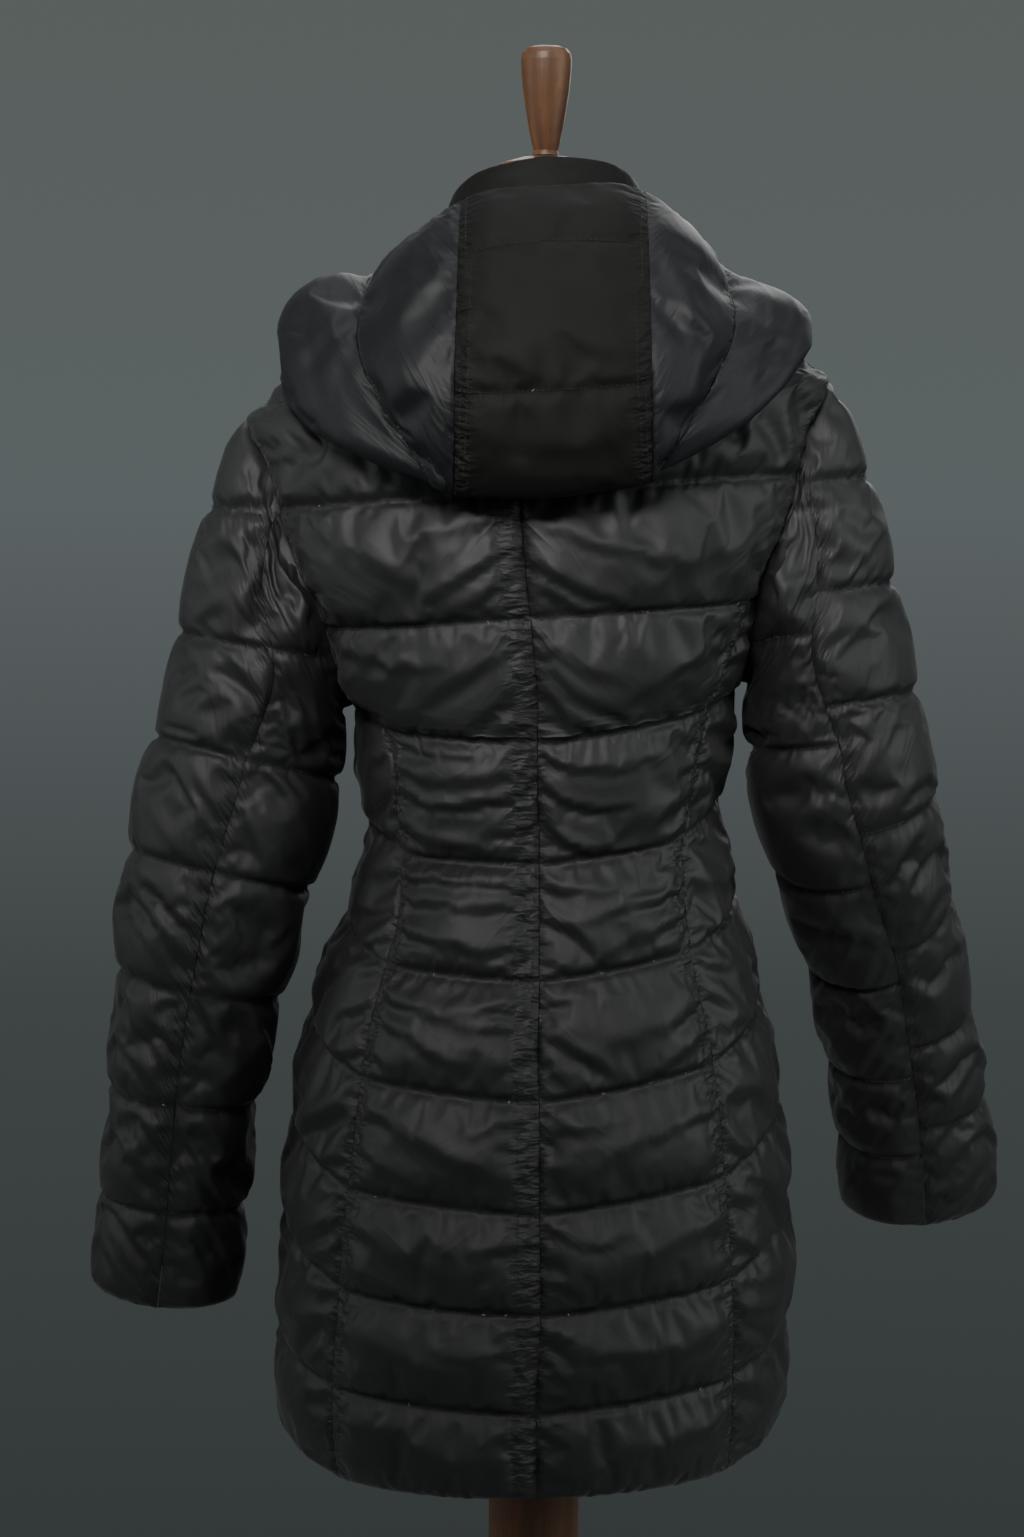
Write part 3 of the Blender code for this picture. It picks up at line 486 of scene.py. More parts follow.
def simulate(panels, frames, pressure, grow, bend, cap, gravity=0.0, quality=4):
    """Swells the panels as down-filled cloth held at its stitches, and moves their outer points."""
    verts, faces, pins, at = [], [], [], 0
    for p in panels:
        r, c = p.outer.shape[:2]
        verts.append(p.outer.reshape(-1, 3))
        pins.append(p.pin.reshape(-1))
        k = at + np.arange(r * c).reshape(r, c)
        faces.append(np.stack([k[:-1, :-1], k[:-1, 1:], k[1:, 1:], k[1:, :-1]], -1).reshape(-1, 4))
        at += r * c
    V, F, W = np.concatenate(verts), np.concatenate(faces), np.concatenate(pins)
    mesh = bpy.data.meshes.new("sim")
    mesh.from_pydata(V.tolist(), [], F.tolist())
    mesh.update()
    ob = bpy.data.objects.new("sim", mesh)
    scene.collection.objects.link(ob)
    group = ob.vertex_groups.new(name="pin")
    for w in np.unique(np.round(W, 2)):
        if w > 0:
            idx = np.nonzero(np.round(W, 2) == w)[0]
            group.add([int(i) for i in idx], float(w), "REPLACE")
    mod = ob.modifiers.new("cloth", "CLOTH")
    s = mod.settings
    s.quality = quality
    s.mass = .2
    s.tension_stiffness = 12
    s.compression_stiffness = 8
    s.shear_stiffness = 5
    s.bending_stiffness = bend
    s.tension_damping = s.compression_damping = s.shear_damping = 6
    s.bending_damping = .5
    s.air_damping = 2
    s.vertex_group_mass = "pin"
    s.pin_stiffness = 1
    s.shrink_min = -grow
    s.use_pressure = True
    s.uniform_pressure_force = pressure
    s.effector_weights.gravity = gravity
    mod.collision_settings.use_collision = False
    mod.collision_settings.use_self_collision = False
    mod.point_cache.frame_start = 1
    mod.point_cache.frame_end = frames
    scene.frame_start, scene.frame_end = 1, frames
    for f in range(1, frames + 1):
        scene.frame_set(f)
    dg = bpy.context.evaluated_depsgraph_get()
    e = ob.evaluated_get(dg)
    out = np.empty(len(V) * 3)
    e.data.vertices.foreach_get("co", out)
    out = out.reshape(-1, 3)
    scene.frame_set(1)
    move = out - V
    far = np.linalg.norm(move, axis=1, keepdims=True)
    move *= np.minimum(1, cap / np.maximum(far, 1e-9)) * np.isfinite(far)
    out = V + np.nan_to_num(move)
    bpy.data.objects.remove(ob, do_unlink=True)
    at = 0
    for p in panels:
        r, c = p.outer.shape[:2]
        p.outer = out[at:at + r * c].reshape(r, c, 3)
        at += r * c
    return float(np.median(far)), float(far.max())


def finish_panel(p, material, slot, extra=None, refine=True):
    """Closed piece of cloth: fine outer side, plain inner side, edges all round."""
    inner = p.base - p.normal * p.thick
    O = double(p.outer) if refine else p.outer
    Q = double(np.stack([p.q, p.x, p.y], -1)) if refine else np.stack([p.q, p.x, p.y], -1)
    width = double(np.repeat(p.width, p.x.shape[1], 1)[..., None])[..., 0] if refine else np.repeat(p.width, p.x.shape[1], 1)
    N = grid_normals(O)
    if np.sum(N * (double(p.normal) if refine else p.normal)) < 0:
        N = -N
    if extra is not None:
        O = O + N * extra(Q[..., 0], Q[..., 1], Q[..., 2], width)[..., None]
    R, C = O.shape[:2]
    r, c = inner.shape[:2]
    ko = np.arange(R * C).reshape(R, C)
    ki = R * C + np.arange(r * c).reshape(r, c)
    faces = [tuple(f) for f in np.stack([ko[:-1, :-1], ko[:-1, 1:], ko[1:, 1:], ko[1:, :-1]], -1).reshape(-1, 4).tolist()]
    faces += [tuple(f) for f in np.stack([ki[:-1, :-1], ki[1:, :-1], ki[1:, 1:], ki[:-1, 1:]], -1).reshape(-1, 4).tolist()]
    step = 2 if refine else 1
    loop_o = list(ko[0, :]) + list(ko[1:, -1]) + list(ko[-1, -2::-1]) + list(ko[-2:0:-1, 0])
    loop_i = list(ki[0, :]) + list(ki[1:, -1]) + list(ki[-1, -2::-1]) + list(ki[-2:0:-1, 0])
    n = len(loop_i)
    for k in range(n):
        a, b = loop_i[k], loop_i[(k + 1) % n]
        o = [loop_o[(k * step + j) % len(loop_o)] for j in range(step + 1)]
        faces.append(tuple([int(a), int(b)] + [int(v) for v in o[::-1]]))
    mesh = bpy.data.meshes.new(p.name + "_cloth")
    mesh.from_pydata(np.concatenate([O.reshape(-1, 3), inner.reshape(-1, 3)]).tolist(), [], faces)
    # seam map: across and along the seams, in centimetres; line map: to the stitched line, along it
    total = R * C + r * c
    across = np.zeros(total)
    along = np.zeros(total)
    line = np.zeros(total)
    run = np.zeros(total)
    side = np.maximum(0, np.minimum(Q[..., 1] - p.low, width - Q[..., 1] - p.high))
    frac = np.abs(Q[..., 0] - np.round(Q[..., 0]))
    across[:R * C] = side.reshape(-1)
    along[:R * C] = Q[..., 2].reshape(-1)
    line[:R * C] = frac.reshape(-1) * .075
    run[:R * C] = Q[..., 1].reshape(-1)
    across[R * C:] = .05
    line[R * C:] = .035
    li = np.empty(len(mesh.loops), dtype=np.int32)
    mesh.loops.foreach_get("vertex_index", li)
    for label, a, b in (("seams", across, along), ("lines", line, run)):
        uv = mesh.uv_layers.new(name=label)
        data = np.stack([a[li] * 100, b[li] * 100], -1).astype(np.float32)
        uv.data.foreach_set("uv", data.reshape(-1))
    bm = bmesh.new()
    bm.from_mesh(mesh)
    bmesh.ops.recalc_face_normals(bm, faces=bm.faces)
    bm.faces.ensure_lookup_table()
    for f in bm.faces:
        f.smooth = True
    for f in bm.faces[len(faces) - n:]:
        for e in f.edges:
            e.smooth = False
    bm.to_mesh(mesh)
    bm.free()
    ob = bpy.data.objects.new(p.name + "_cloth", mesh)
    scene.collection.objects.link(ob)
    mesh.materials.append(material)
    return ob


# =================================================================== folds
def to_photo(P):
    """Where points fall in the 1024 x 1537 frame."""
    inv = np.array(M.inverted())
    h = P.reshape(-1, 3) @ inv[:3, :3].T + inv[:3, 3]
    k = 1537 * 83.15 / 36.0
    u = 512 + k * h[:, 0] / -h[:, 2]
    v = 768.5 - k * h[:, 1] / -h[:, 2]
    return np.stack([u, v], -1).reshape(P.shape[:-1] + (2,))


def ridge(A, pts, width, height):
    """Height of one fold on a grid of places A (rows, columns, 2; second number downward):
    a curve through three points, soft above and steeper below, fading to its ends."""
    p0, p1, p2 = (np.array(p, float) for p in pts)
    c = 2 * p1 - (p0 + p2) / 2
    s = np.linspace(0, 1, 22)[:, None]
    curve = (1 - s) ** 2 * p0 + 2 * s * (1 - s) * c + s ** 2 * p2
    lo, hi = curve.min(0) - 3.2 * width, curve.max(0) + 3.2 * width
    near = np.all((A >= lo) & (A <= hi), axis=-1)
    out = np.zeros(A.shape[:-1])
    if not near.any():
        return out
    B = A[near]
    d = np.linalg.norm(B[:, None] - curve[None], axis=-1)
    k = d.argmin(1)
    tang = np.gradient(curve, axis=0)
    tang /= np.maximum(np.linalg.norm(tang, axis=1, keepdims=True), 1e-9)
    tang *= np.sign(tang[:, :1] + 1e-9)
    rel = B - curve[k]
    off = tang[k, 0] * rel[:, 1] - tang[k, 1] * rel[:, 0]      # positive below the fold
    dist = d[np.arange(len(k)), k]
    w = np.where(off > 0, width * .75, width * 1.45)
    fade = np.sin(np.pi * np.clip(.10 + .86 * k / 21.0, 0, 1)) ** .6
    out[near] = height * fade * (np.exp(-(dist / w) ** 2) - .38 * np.exp(-((off - width * 1.5) / width) ** 2) * (dist < 2.6 * width))
    return out


# =================================================================== panels
STEP = 0.0046
STEP_FRONT = 0.0062
LINE_Q = [0, 1, 2, 3, 4, 5, 6, 7, 8, 9, 10.15, 11.1, 12]      # stitched lines (the yoke, then two under the hood)
LINE_RANK = list(range(13))


def q_rows(q0, q1, step):
    """Rows of a body panel from line q0 to q1, with every stitched line among them."""
    marks = [q0] + [v for v in LINE_Q if q0 + .05 < v < q1 - .05] + [q1]
    rows = []
    for a, b in zip(marks, marks[1:]):
        n = max(3, int(round((float(look(LINES, b, 1)) - float(look(LINES, a, 1))) / step)))
        rows += list(np.linspace(a, b, n, endpoint=False))
    return np.array(rows + [q1])


def rank(q):
    """Quilt number: whole at the stitched lines."""
    return np.interp(q, LINE_Q, LINE_RANK)


def puff_profile(k, down=1):
    """Fullness of a channel between its stitched lines: the down settles to the lower one."""
    f = k - np.floor(k)
    f = f if down > 0 else 1 - f
    return np.abs(np.sin(pi * np.clip(f, 0, 1) ** .78)) ** .72


def body_panel(name, q, low, high, step, seed, bands=(), height=.0058, grow_noise=.0010):
    rng = np.random.default_rng(seed)
    lo = np.array([low(v) for v in q])
    hi = np.array([high(v) for v in q])
    wide = max(np.linalg.norm(body(hi[i], float(level(q[i], hi[i]))) - body(lo[i], float(level(q[i], lo[i]))))
               for i in range(0, len(q), 6))
    arc = np.linspace(0, 1, 12)
    length = 0
    for i in range(0, len(q), 8):
        th = lo[i] + (hi[i] - lo[i]) * arc
        pts = body(th, level(q[i], th))
        length = max(length, np.linalg.norm(np.diff(pts, axis=0), axis=1).sum())
    n = max(4, int(round(length / step)))
    u = np.linspace(0, 1, n + 1)
    th = lo[:, None] + (hi - lo)[:, None] * u[None, :]
    Q = np.repeat(q[:, None], n + 1, 1)
    z = level(Q, th)
    P, N = body(th, z), body_normal(th, z)
    # half the gap at each side
    for col, nxt in ((0, 1), (-1, -2)):
        d = P[:, nxt] - P[:, col]
        P[:, col] += d / np.linalg.norm(d, axis=1, keepdims=True) * GAP / 2
    across = np.linalg.norm(np.diff(P, axis=1), axis=-1)
    x = np.concatenate([np.zeros((len(q), 1)), np.cumsum(across, 1)], 1)
    width = x[:, -1:]
    k = rank(Q)
    pin = (np.abs(k - np.round(k)) < 1e-4).astype(float)
    pin[:, 0] = pin[:, -1] = 1
    pin[0, :] = pin[-1, :] = 1
    side = np.minimum(x, width - x)
    for b in bands:          # topstitching parallel to a seam: (which side, distance)
        target = b[1] if b[0] == "low" else width[:, 0] - b[1]
        target = np.broadcast_to(target, (len(q),))
        j = np.abs(x - np.asarray(target)[:, None]).argmin(1)
        pin[np.arange(len(q)), j] = 1
    edge = np.clip(side / .022, 0, 1) ** .6
    rise = .0012 + height * puff_profile(k) * edge
    free = (1 - pin) * edge * puff_profile(k)
    rise = rise + grow_noise * noise_field(P.shape[:2], (len(q) * step / .05, n * step / .03), rng, 3) * free
    band = dict(bands)
    return Panel(name, P, N, Q, pin, rise, SEAM_T / 2, band.get("low", 0), band.get("high", 0))


CB_BAND = .0150
PR_BAND = .0085
TIP = .0016


def make_body():
    out = []
    for side, word in ((-1, "left"), (1, "right")):
        top = PRINCESS_TOP[side]

        def outer_edge(v, side=side, top=top):
            if v <= top:
                return edge_princess(v, side)
            return edge_armhole(v, side, 1)

        def side_edge(v, side=side):
            return side * 90.0 if v <= UNDERARM else edge_armhole(v, side, 1)

        def front_side(v, side=side):
            return side * 90.0 if v <= UNDERARM else edge_armhole(v, side, 2)

        centre = (lambda v, side=side: edge_centre(v, side))
        princess = (lambda v, side=side: edge_princess(v, side))
        closing = (lambda v, side=side: front_edge(v, side))
        q = q_rows(0, 12, STEP)
        q = np.sort(np.append(q, [7.06, 7.12, 7.18]))
        qs = q_rows(0, top, STEP)
        qs = np.sort(np.append(qs, [7.06, 7.12, 7.18])) if top > 7.2 else qs
        qf = q_rows(0, 12, STEP_FRONT)
        if side < 0:
            out.append(body_panel("back_left", q, outer_edge, centre, STEP, 11, bands=(("low", PR_BAND), ("high", CB_BAND))))
            out.append(body_panel("side_back_left", qs, side_edge, princess, STEP, 12, height=.0036))
            out.append(body_panel("front_left", qf, closing, front_side, STEP_FRONT, 13, bands=(("low", .012),)))
        else:
            out.append(body_panel("back_right", q, centre, outer_edge, STEP, 14, bands=(("high", PR_BAND),)))
            out.append(body_panel("side_back_right", qs, princess, side_edge, STEP, 15, height=.0036))
            out.append(body_panel("front_right", qf, front_side, closing, STEP_FRONT, 16, bands=(("high", .012),)))
    return out


def front_edge(q, side):
    z = float(level(q, 180.0))
    half = float(look(BODY, z, 1)) - INSET
    return side * (180 - degrees(np.arcsin((ZIP_HALF / half) ** (POWER / 2))))


# Stitched lines of the sleeves by height on the sleeve (outer part, under part)
SLEEVE_LINES = {
    -1: ([1.262, 1.172, 1.092, 1.016, .938, .858, .784, .717], [1.262, 1.172, 1.092, 1.016, .938, .858, .784, .717]),
    1: ([1.286, 1.212, 1.135, 1.058, .985, .905, .842, .771], [1.270, 1.186, 1.108, 1.030, .960, .882, .822, .771]),
}


def sleeve_panel(name, side, under, step, seed):
    rng = np.random.default_rng(seed)
    T = SLEEVE[side]
    n_t = len(T)
    tt = [0.0]
    fan = np.linspace(0, 1, int(.22 / step) + 1)
    rows = list(fan[:-1])
    for k in range(1, n_t):
        a = np.array([T[k - 1][1], T[k - 1][2], T[k - 1][0]])
        b = np.array([T[k][1], T[k][2], T[k][0]])
        m = max(2, int(round(np.linalg.norm(b - a) / step)))
        rows += list(np.linspace(k, k + 1, m, endpoint=False))
    rows = np.array(rows + [float(n_t)])
    cols = int(round((.19 if under else .21) / step))
    u = np.linspace(0, 1, cols + 1)
    seam0 = SEAM0_BACK
    front0 = SEAM0_FRONT
    if under:
        lo0, hi0 = seam0, front0
    else:
        lo0, hi0 = front0 - 360, seam0
    # columns spaced evenly along the armhole at the top
    dense = np.linspace(lo0, hi0, 400)
    ap = body(*armhole_point(dense, side))
    arc = np.concatenate([[0], np.cumsum(np.linalg.norm(np.diff(ap, axis=0), axis=1))])
    phi0 = np.interp(u * arc[-1], arc, dense)
    back = smooth(rows, column(SLEEVE_SEAM, 0), column(SLEEVE_SEAM, 1))
    front = front0 + (270 - front0) * np.minimum(1, rows / 2)
    lo = back if under else front - 360
    hi = front if under else back
    w = np.clip(rows / .7, 0, 1)
    w = w * w * (3 - 2 * w)
    phi = phi0[None, :] * (1 - w)[:, None] + (lo[:, None] + (hi - lo)[:, None] * u[None, :]) * w[:, None]
    tg = np.repeat(rows[:, None], cols + 1, 1)
    P = sleeve(phi, tg, side)
    N = sleeve_normal(phi, np.maximum(tg, .02), side)
    # first row: just off the armhole edge
    th, z = armhole_point(phi[0], side)
    Nb = body_normal(th, z)
    a = body(*armhole_point(phi[0] - 1, side))
    b = body(*armhole_point(phi[0] + 1, side))
    d = b - a
    d /= np.linalg.norm(d, axis=1, keepdims=True)
    Tn = np.cross(Nb, d) * side
    Tn /= np.linalg.norm(Tn, axis=1, keepdims=True)
    turn = np.clip((np.abs(((phi[0] + 180) % 360) - 180) - 110) / 60, 0, 1) * pi / 2
    Ns = Nb * np.cos(turn)[:, None] - Tn * np.sin(turn)[:, None]
    P[0] = P[0] + Tn * (GAP * (1.5 + 1.6 * np.clip(np.cos(np.radians(phi[0])) * 2 - 1, 0, 1)))[:, None]
    P[0] -= Nb * (SEAM_T / 2 * (1 - np.cos(turn)))[:, None] * 0
    N[0] = Ns
    for j in range(1, 5):
        f = j / 5
        m = N[0] * (1 - f) + N[j] * f
        N[j] = m / np.linalg.norm(m, axis=-1, keepdims=True)
    for col, nxt in ((0, 1), (-1, -2)):
        d = P[:, nxt] - P[:, col]
        P[:, col] += d / np.maximum(np.linalg.norm(d, axis=1, keepdims=True), 1e-9) * GAP / 2
    # height along the sleeve, level with the shoulder's slope in the cap
    h = P[..., 2] - .14 * (np.abs(P[..., 0]) - .2)
    zc = smooth(tg, np.arange(1, n_t + 1), column(T, 0))
    h = np.where(tg > 1, zc, h)
    blend = np.clip(tg, 0, 1)
    marks = SLEEVE_LINES[side][1 if under else 0]
    k = np.interp(-h, [-1.36] + [-m for m in marks], list(range(len(marks) + 1)))
    near = np.abs(k - np.round(k))
    pin = np.zeros(k.shape)
    for m in range(1, len(marks)):
        row = np.abs(k - m).argmin(0)
        ok = (np.abs(k - m).min(0) < .06)
        pin[row[ok], np.nonzero(ok)[0]] = 1
    pin[:, 0] = pin[:, -1] = 1
    pin[0] = pin[-1] = 1
    across = np.linalg.norm(np.diff(P, axis=1), axis=-1)
    x = np.concatenate([np.zeros((len(rows), 1)), np.cumsum(across, 1)], 1)
    width = x[:, -1:]
    edge = np.clip(np.minimum(x, width - x) / .020, 0, 1) ** .6
    top = np.clip((tg * .2) / .02, 0, 1) ** .6
    rise = .0012 + .0042 * puff_profile(k, -1) * edge * top
    rise = rise + .0012 * noise_field(P.shape[:2], (len(rows) * step / .05, cols * step / .03), rng, 3) * (1 - pin) * edge
    return Panel(name, P, N, k, pin, rise, SEAM_T / 2, 0, 0 if under else .006)


_hb = [phi_of(float(level(v, abs(edge_armhole(v, 1, 1))))) for v in (9,)]
_hf = [360 - phi_of(float(level(v, 180 - abs(edge_armhole(v, 1, 2))))) for v in (8,)]
SEAM0_BACK, SEAM0_FRONT = _hb[0], _hf[0]



def hood_panel(name, c0, c1, step, seed, lines=()):
    """Hood piece between stations c0 and c1; lines are cross channels by s."""
    rng = np.random.default_rng(seed)
    probe = np.linspace(c0, c1, 30)
    wide = max(np.linalg.norm(np.diff(hood(probe, np.full(30, s)), axis=0), axis=1).sum() for s in (0.0, 1.0, 2.0, 3.0))
    long_ = np.linalg.norm(np.diff(hood(np.full(80, (c0 + c1) / 2), np.linspace(0, 6, 80)), axis=0), axis=1).sum()
    cols, rows = max(6, int(round(wide / step))), int(round(long_ / step))
    ss = np.linspace(0, 6, 400)
    mid = hood(np.full(400, (c0 + c1) / 2), ss)
    arc = np.concatenate([[0], np.cumsum(np.linalg.norm(np.diff(mid, axis=0), axis=1))])
    s = np.interp(np.linspace(0, arc[-1], rows + 1), arc, ss)
    c = np.linspace(c0, c1, cols + 1)
    C, S = np.meshgrid(c, s)
    P, N = hood(C, S), hood_normal(C, S)
    drop = np.clip(1 - np.abs(C + 2.55) / .5, 0, 1) * np.clip((2.6 - S) / 1.2, 0, 1)
    P[..., 2] -= .007 * drop * drop * (3 - 2 * drop)
    if c0 < 0 < c1:          # one soft curve over the crown
        m = cols // 2
        for _ in range(14):
            for G in (P, N):
                G[:, m - 5:m + 6] = (G[:, m - 6:m + 5] + 2 * G[:, m - 5:m + 6] + G[:, m - 4:m + 7]) / 4
        N /= np.linalg.norm(N, axis=-1, keepdims=True)
    for col, nxt, end in ((0, 1, c0), (-1, -2, c1)):
        if abs(end) < 2.99:
            d = P[:, nxt] - P[:, col]
            P[:, col] += d / np.linalg.norm(d, axis=1, keepdims=True) * GAP / 2
    across = np.linalg.norm(np.diff(P, axis=1), axis=-1)
    x = np.concatenate([np.zeros((rows + 1, 1)), np.cumsum(across, 1)], 1)
    width = x[:, -1:]
    pin = np.zeros(P.shape[:2])
    pin[:, 0] = pin[:, -1] = 1
    pin[0] = pin[-1] = 1
    marks = [0.0] + list(lines) + [3.35, 6.0]
    k = np.interp(S, marks, list(range(len(marks))))
    for mark in lines:
        pin[int(np.abs(s - mark).argmin())] = 1
    if c1 - c0 > 1.5:        # topstitched band inside both seams of the centre piece
        for target in (np.full(rows + 1, .0075), width[:, 0] - .0075):
            j = np.abs(x - target[:, None]).argmin(1)
            pin[np.arange(rows + 1), j] = 1
    edge = np.clip(np.minimum(x, width - x) / .022, 0, 1) ** .6
    ends = np.clip(np.minimum(S, 6 - S) / .35, 0, 1) ** .6
    fold = np.abs(np.sin(pi * np.clip(k, 0, len(marks) - 1))) ** .7 if lines else np.ones(S.shape)
    low_rim = np.where(np.abs(C) > 2, np.clip(S / 1.6, 0, 1), 1.0)
    rise = HOOD_T / 2 * (.25 + .75 * low_rim) + (.0028 if abs(c0) < 2 and abs(c1) < 2 else .0014) * edge * ends * fold * low_rim
    rise = rise + .0016 * noise_field(P.shape[:2], (rows * step / .07, cols * step / .035), rng, 2) * (1 - pin) * edge * ends
    band = .0075 if c1 - c0 > 1.5 else 0
    return Panel(name, P, N, k, pin, rise, HOOD_T / 2, band, band)


def collar_panel(step, seed):
    rng = np.random.default_rng(seed)
    span = 180 - degrees(np.arcsin((ZIP_HALF / COLLAR_SIZE["top"][0]) ** (POWER / 2))) - .4
    cols = int(.42 / step)
    rows = int(.078 / step)
    th, v = np.meshgrid(np.linspace(-span, span, cols + 1), np.linspace(0, 1, rows + 1))
    P, N = collar(th, v), collar_normal(th, v)
    pin = np.zeros(P.shape[:2])
    pin[0] = pin[-1] = 1
    pin[:, 0] = pin[:, -1] = 1
    pin[rows // 2] = 1
    pin[-2] = 1
    k = v * 2
    across = np.linalg.norm(np.diff(P, axis=1), axis=-1)
    x = np.concatenate([np.zeros((rows + 1, 1)), np.cumsum(across, 1)], 1)
    width = x[:, -1:]
    edge = np.clip(np.minimum(x, width - x) / .015, 0, 1) ** .6
    rise = COLLAR_T / 2 + .0016 * np.abs(np.sin(pi * k)) * edge
    rise = rise + .0010 * noise_field(P.shape[:2], (3, 16), rng, 3) * (1 - pin) * edge
    return Panel("collar", P, N, k, pin, rise, COLLAR_T / 2)


body_panels = make_body()
sleeve_panels = []
for side, word in ((-1, "left"), (1, "right")):
    sleeve_panels.append(sleeve_panel("sleeve_%s_outer" % word, side, False, STEP, 31 + side))
    sleeve_panels.append(sleeve_panel("sleeve_%s_under" % word, side, True, STEP, 41 + side))
hood_panels = [
    hood_panel("hood_centre", -1, 1, STEP, 51, lines=(1.02, 2.12)),
    hood_panel("hood_side_left", -2, -1, STEP, 52),
    hood_panel("hood_side_right", 1, 2, STEP, 53),
    hood_panel("hood_edge_left", -3, -2, STEP, 54),
    hood_panel("hood_edge_right", 2, 3, STEP, 55),
]
collar_panels = [collar_panel(STEP, 61)]

# Folds seen on the back, by where they fall in the frame: three points each, width and height
# (pixels of 0.7 mm, millimetres).
BACK_FOLDS = [
    # first channel under the yoke
    ((522, 548), (570, 580), (628, 602), 7, 2.6), ((530, 572), (575, 604), (612, 612), 6, 2.2),
    ((530, 520), (600, 540), (690, 566), 10, 2.2), ((640, 585), (690, 560), (760, 520), 11, 2.2),
    ((514, 545), (470, 570), (425, 598), 8, 2.2), ((512, 575), (470, 600), (430, 615), 6, 2.0),
    ((320, 520), (380, 560), (450, 600), 12, 2.4), ((300, 560), (340, 600), (390, 622), 8, 2.2),
    ((505, 515), (450, 530), (400, 536), 9, 1.6),
    # second
    ((536, 632), (575, 662), (622, 676), 7, 2.8), ((536, 650), (580, 690), (630, 712), 8, 2.8),
    ((538, 676), (562, 706), (600, 728), 7, 2.4), ((700, 640), (660, 670), (610, 700), 9, 2.2),
    ((742, 640), (715, 672), (690, 700), 7, 2.4), ((524, 640), (480, 662), (430, 700), 8, 2.6),
    ((524, 665), (500, 700), (470, 726), 7, 2.4), ((340, 655), (365, 690), (400, 722), 8, 2.8),
    ((348, 640), (400, 660), (450, 668), 8, 2.0),
    # third
    ((395, 760), (440, 775), (522, 772), 7, 3.0), ((398, 785), (450, 800), (524, 792), 7, 3.0),
    ((394, 812), (440, 838), (510, 850), 8, 3.0), ((400, 740), (440, 752), (480, 752), 6, 2.2),
    ((700, 775), (640, 815), (590, 850), 9, 2.8), ((700, 800), (665, 835), (630, 856), 7, 2.6),
    ((548, 758), (590, 765), (650, 755), 8, 2.2), ((547, 790), (580, 802), (625, 800), 7, 2.4),
    ((548, 825), (572, 842), (600, 850), 6, 2.2),
    # fourth, the waist
    ((396, 866), (445, 880), (524, 884), 7, 3.4), ((400, 888), (460, 906), (526, 904), 7, 3.0),
    ((394, 920), (450, 944), (524, 946), 8, 3.2), ((400, 946), (440, 960), (500, 966), 6, 2.4),
    ((692, 910), (645, 930), (590, 962), 9, 2.8), ((690, 885), (640, 900), (575, 925), 8, 2.4),
    ((548, 880), (585, 892), (640, 885), 7, 2.4), ((548, 915), (575, 932), (600, 950), 7, 2.4),
    # fifth
    ((384, 985), (430, 1010), (500, 1030), 9, 2.6), ((384, 1015), (430, 1045), (480, 1068), 8, 2.4),
    ((524, 1000), (490, 1010), (440, 1005), 7, 2.0), ((700, 990), (650, 1020), (590, 1055), 9, 2.4),
    ((548, 990), (590, 1000), (640, 992), 8, 2.0), ((548, 1030), (580, 1050), (610, 1070), 7, 2.2),
    ((705, 1030), (670, 1055), (640, 1072), 7, 2.0),
    # sixth to ninth: broad drag lines falling to the middle
    ((372, 1110), (430, 1140), (500, 1180), 11, 2.6), ((370, 1150), (410, 1175), (450, 1195), 8, 2.2),
    ((700, 1110), (640, 1140), (580, 1180), 11, 2.6), ((550, 1115), (590, 1125), (640, 1115), 8, 1.8),
    ((715, 1150), (680, 1175), (640, 1195), 8, 2.2), ((524, 1120), (490, 1130), (450, 1122), 7, 1.8),
    ((355, 1220), (410, 1250), (480, 1295), 12, 2.6), ((350, 1262), (390, 1285), (430, 1302), 8, 2.2),
    ((725, 1215), (650, 1250), (580, 1292), 12, 2.6), ((548, 1230), (600, 1240), (650, 1228), 8, 1.8),
    ((730, 1262), (690, 1285), (650, 1300), 8, 2.0), ((524, 1240), (480, 1252), (440, 1240), 7, 1.8),
    ((345, 1325), (400, 1345), (470, 1392), 12, 2.4), ((725, 1320), (660, 1348), (590, 1390), 12, 2.4),
    ((524, 1340), (480, 1352), (430, 1342), 8, 1.8), ((548, 1340), (600, 1352), (660, 1345), 8, 1.8),
    ((345, 1415), (410, 1440), (480, 1478), 11, 2.0), ((720, 1412), (650, 1440), (585, 1478), 11, 2.0),
    # yoke
    ((300, 440), (370, 452), (440, 486), 12, 1.8), ((790, 430), (730, 455), (660, 486), 12, 1.8),
]


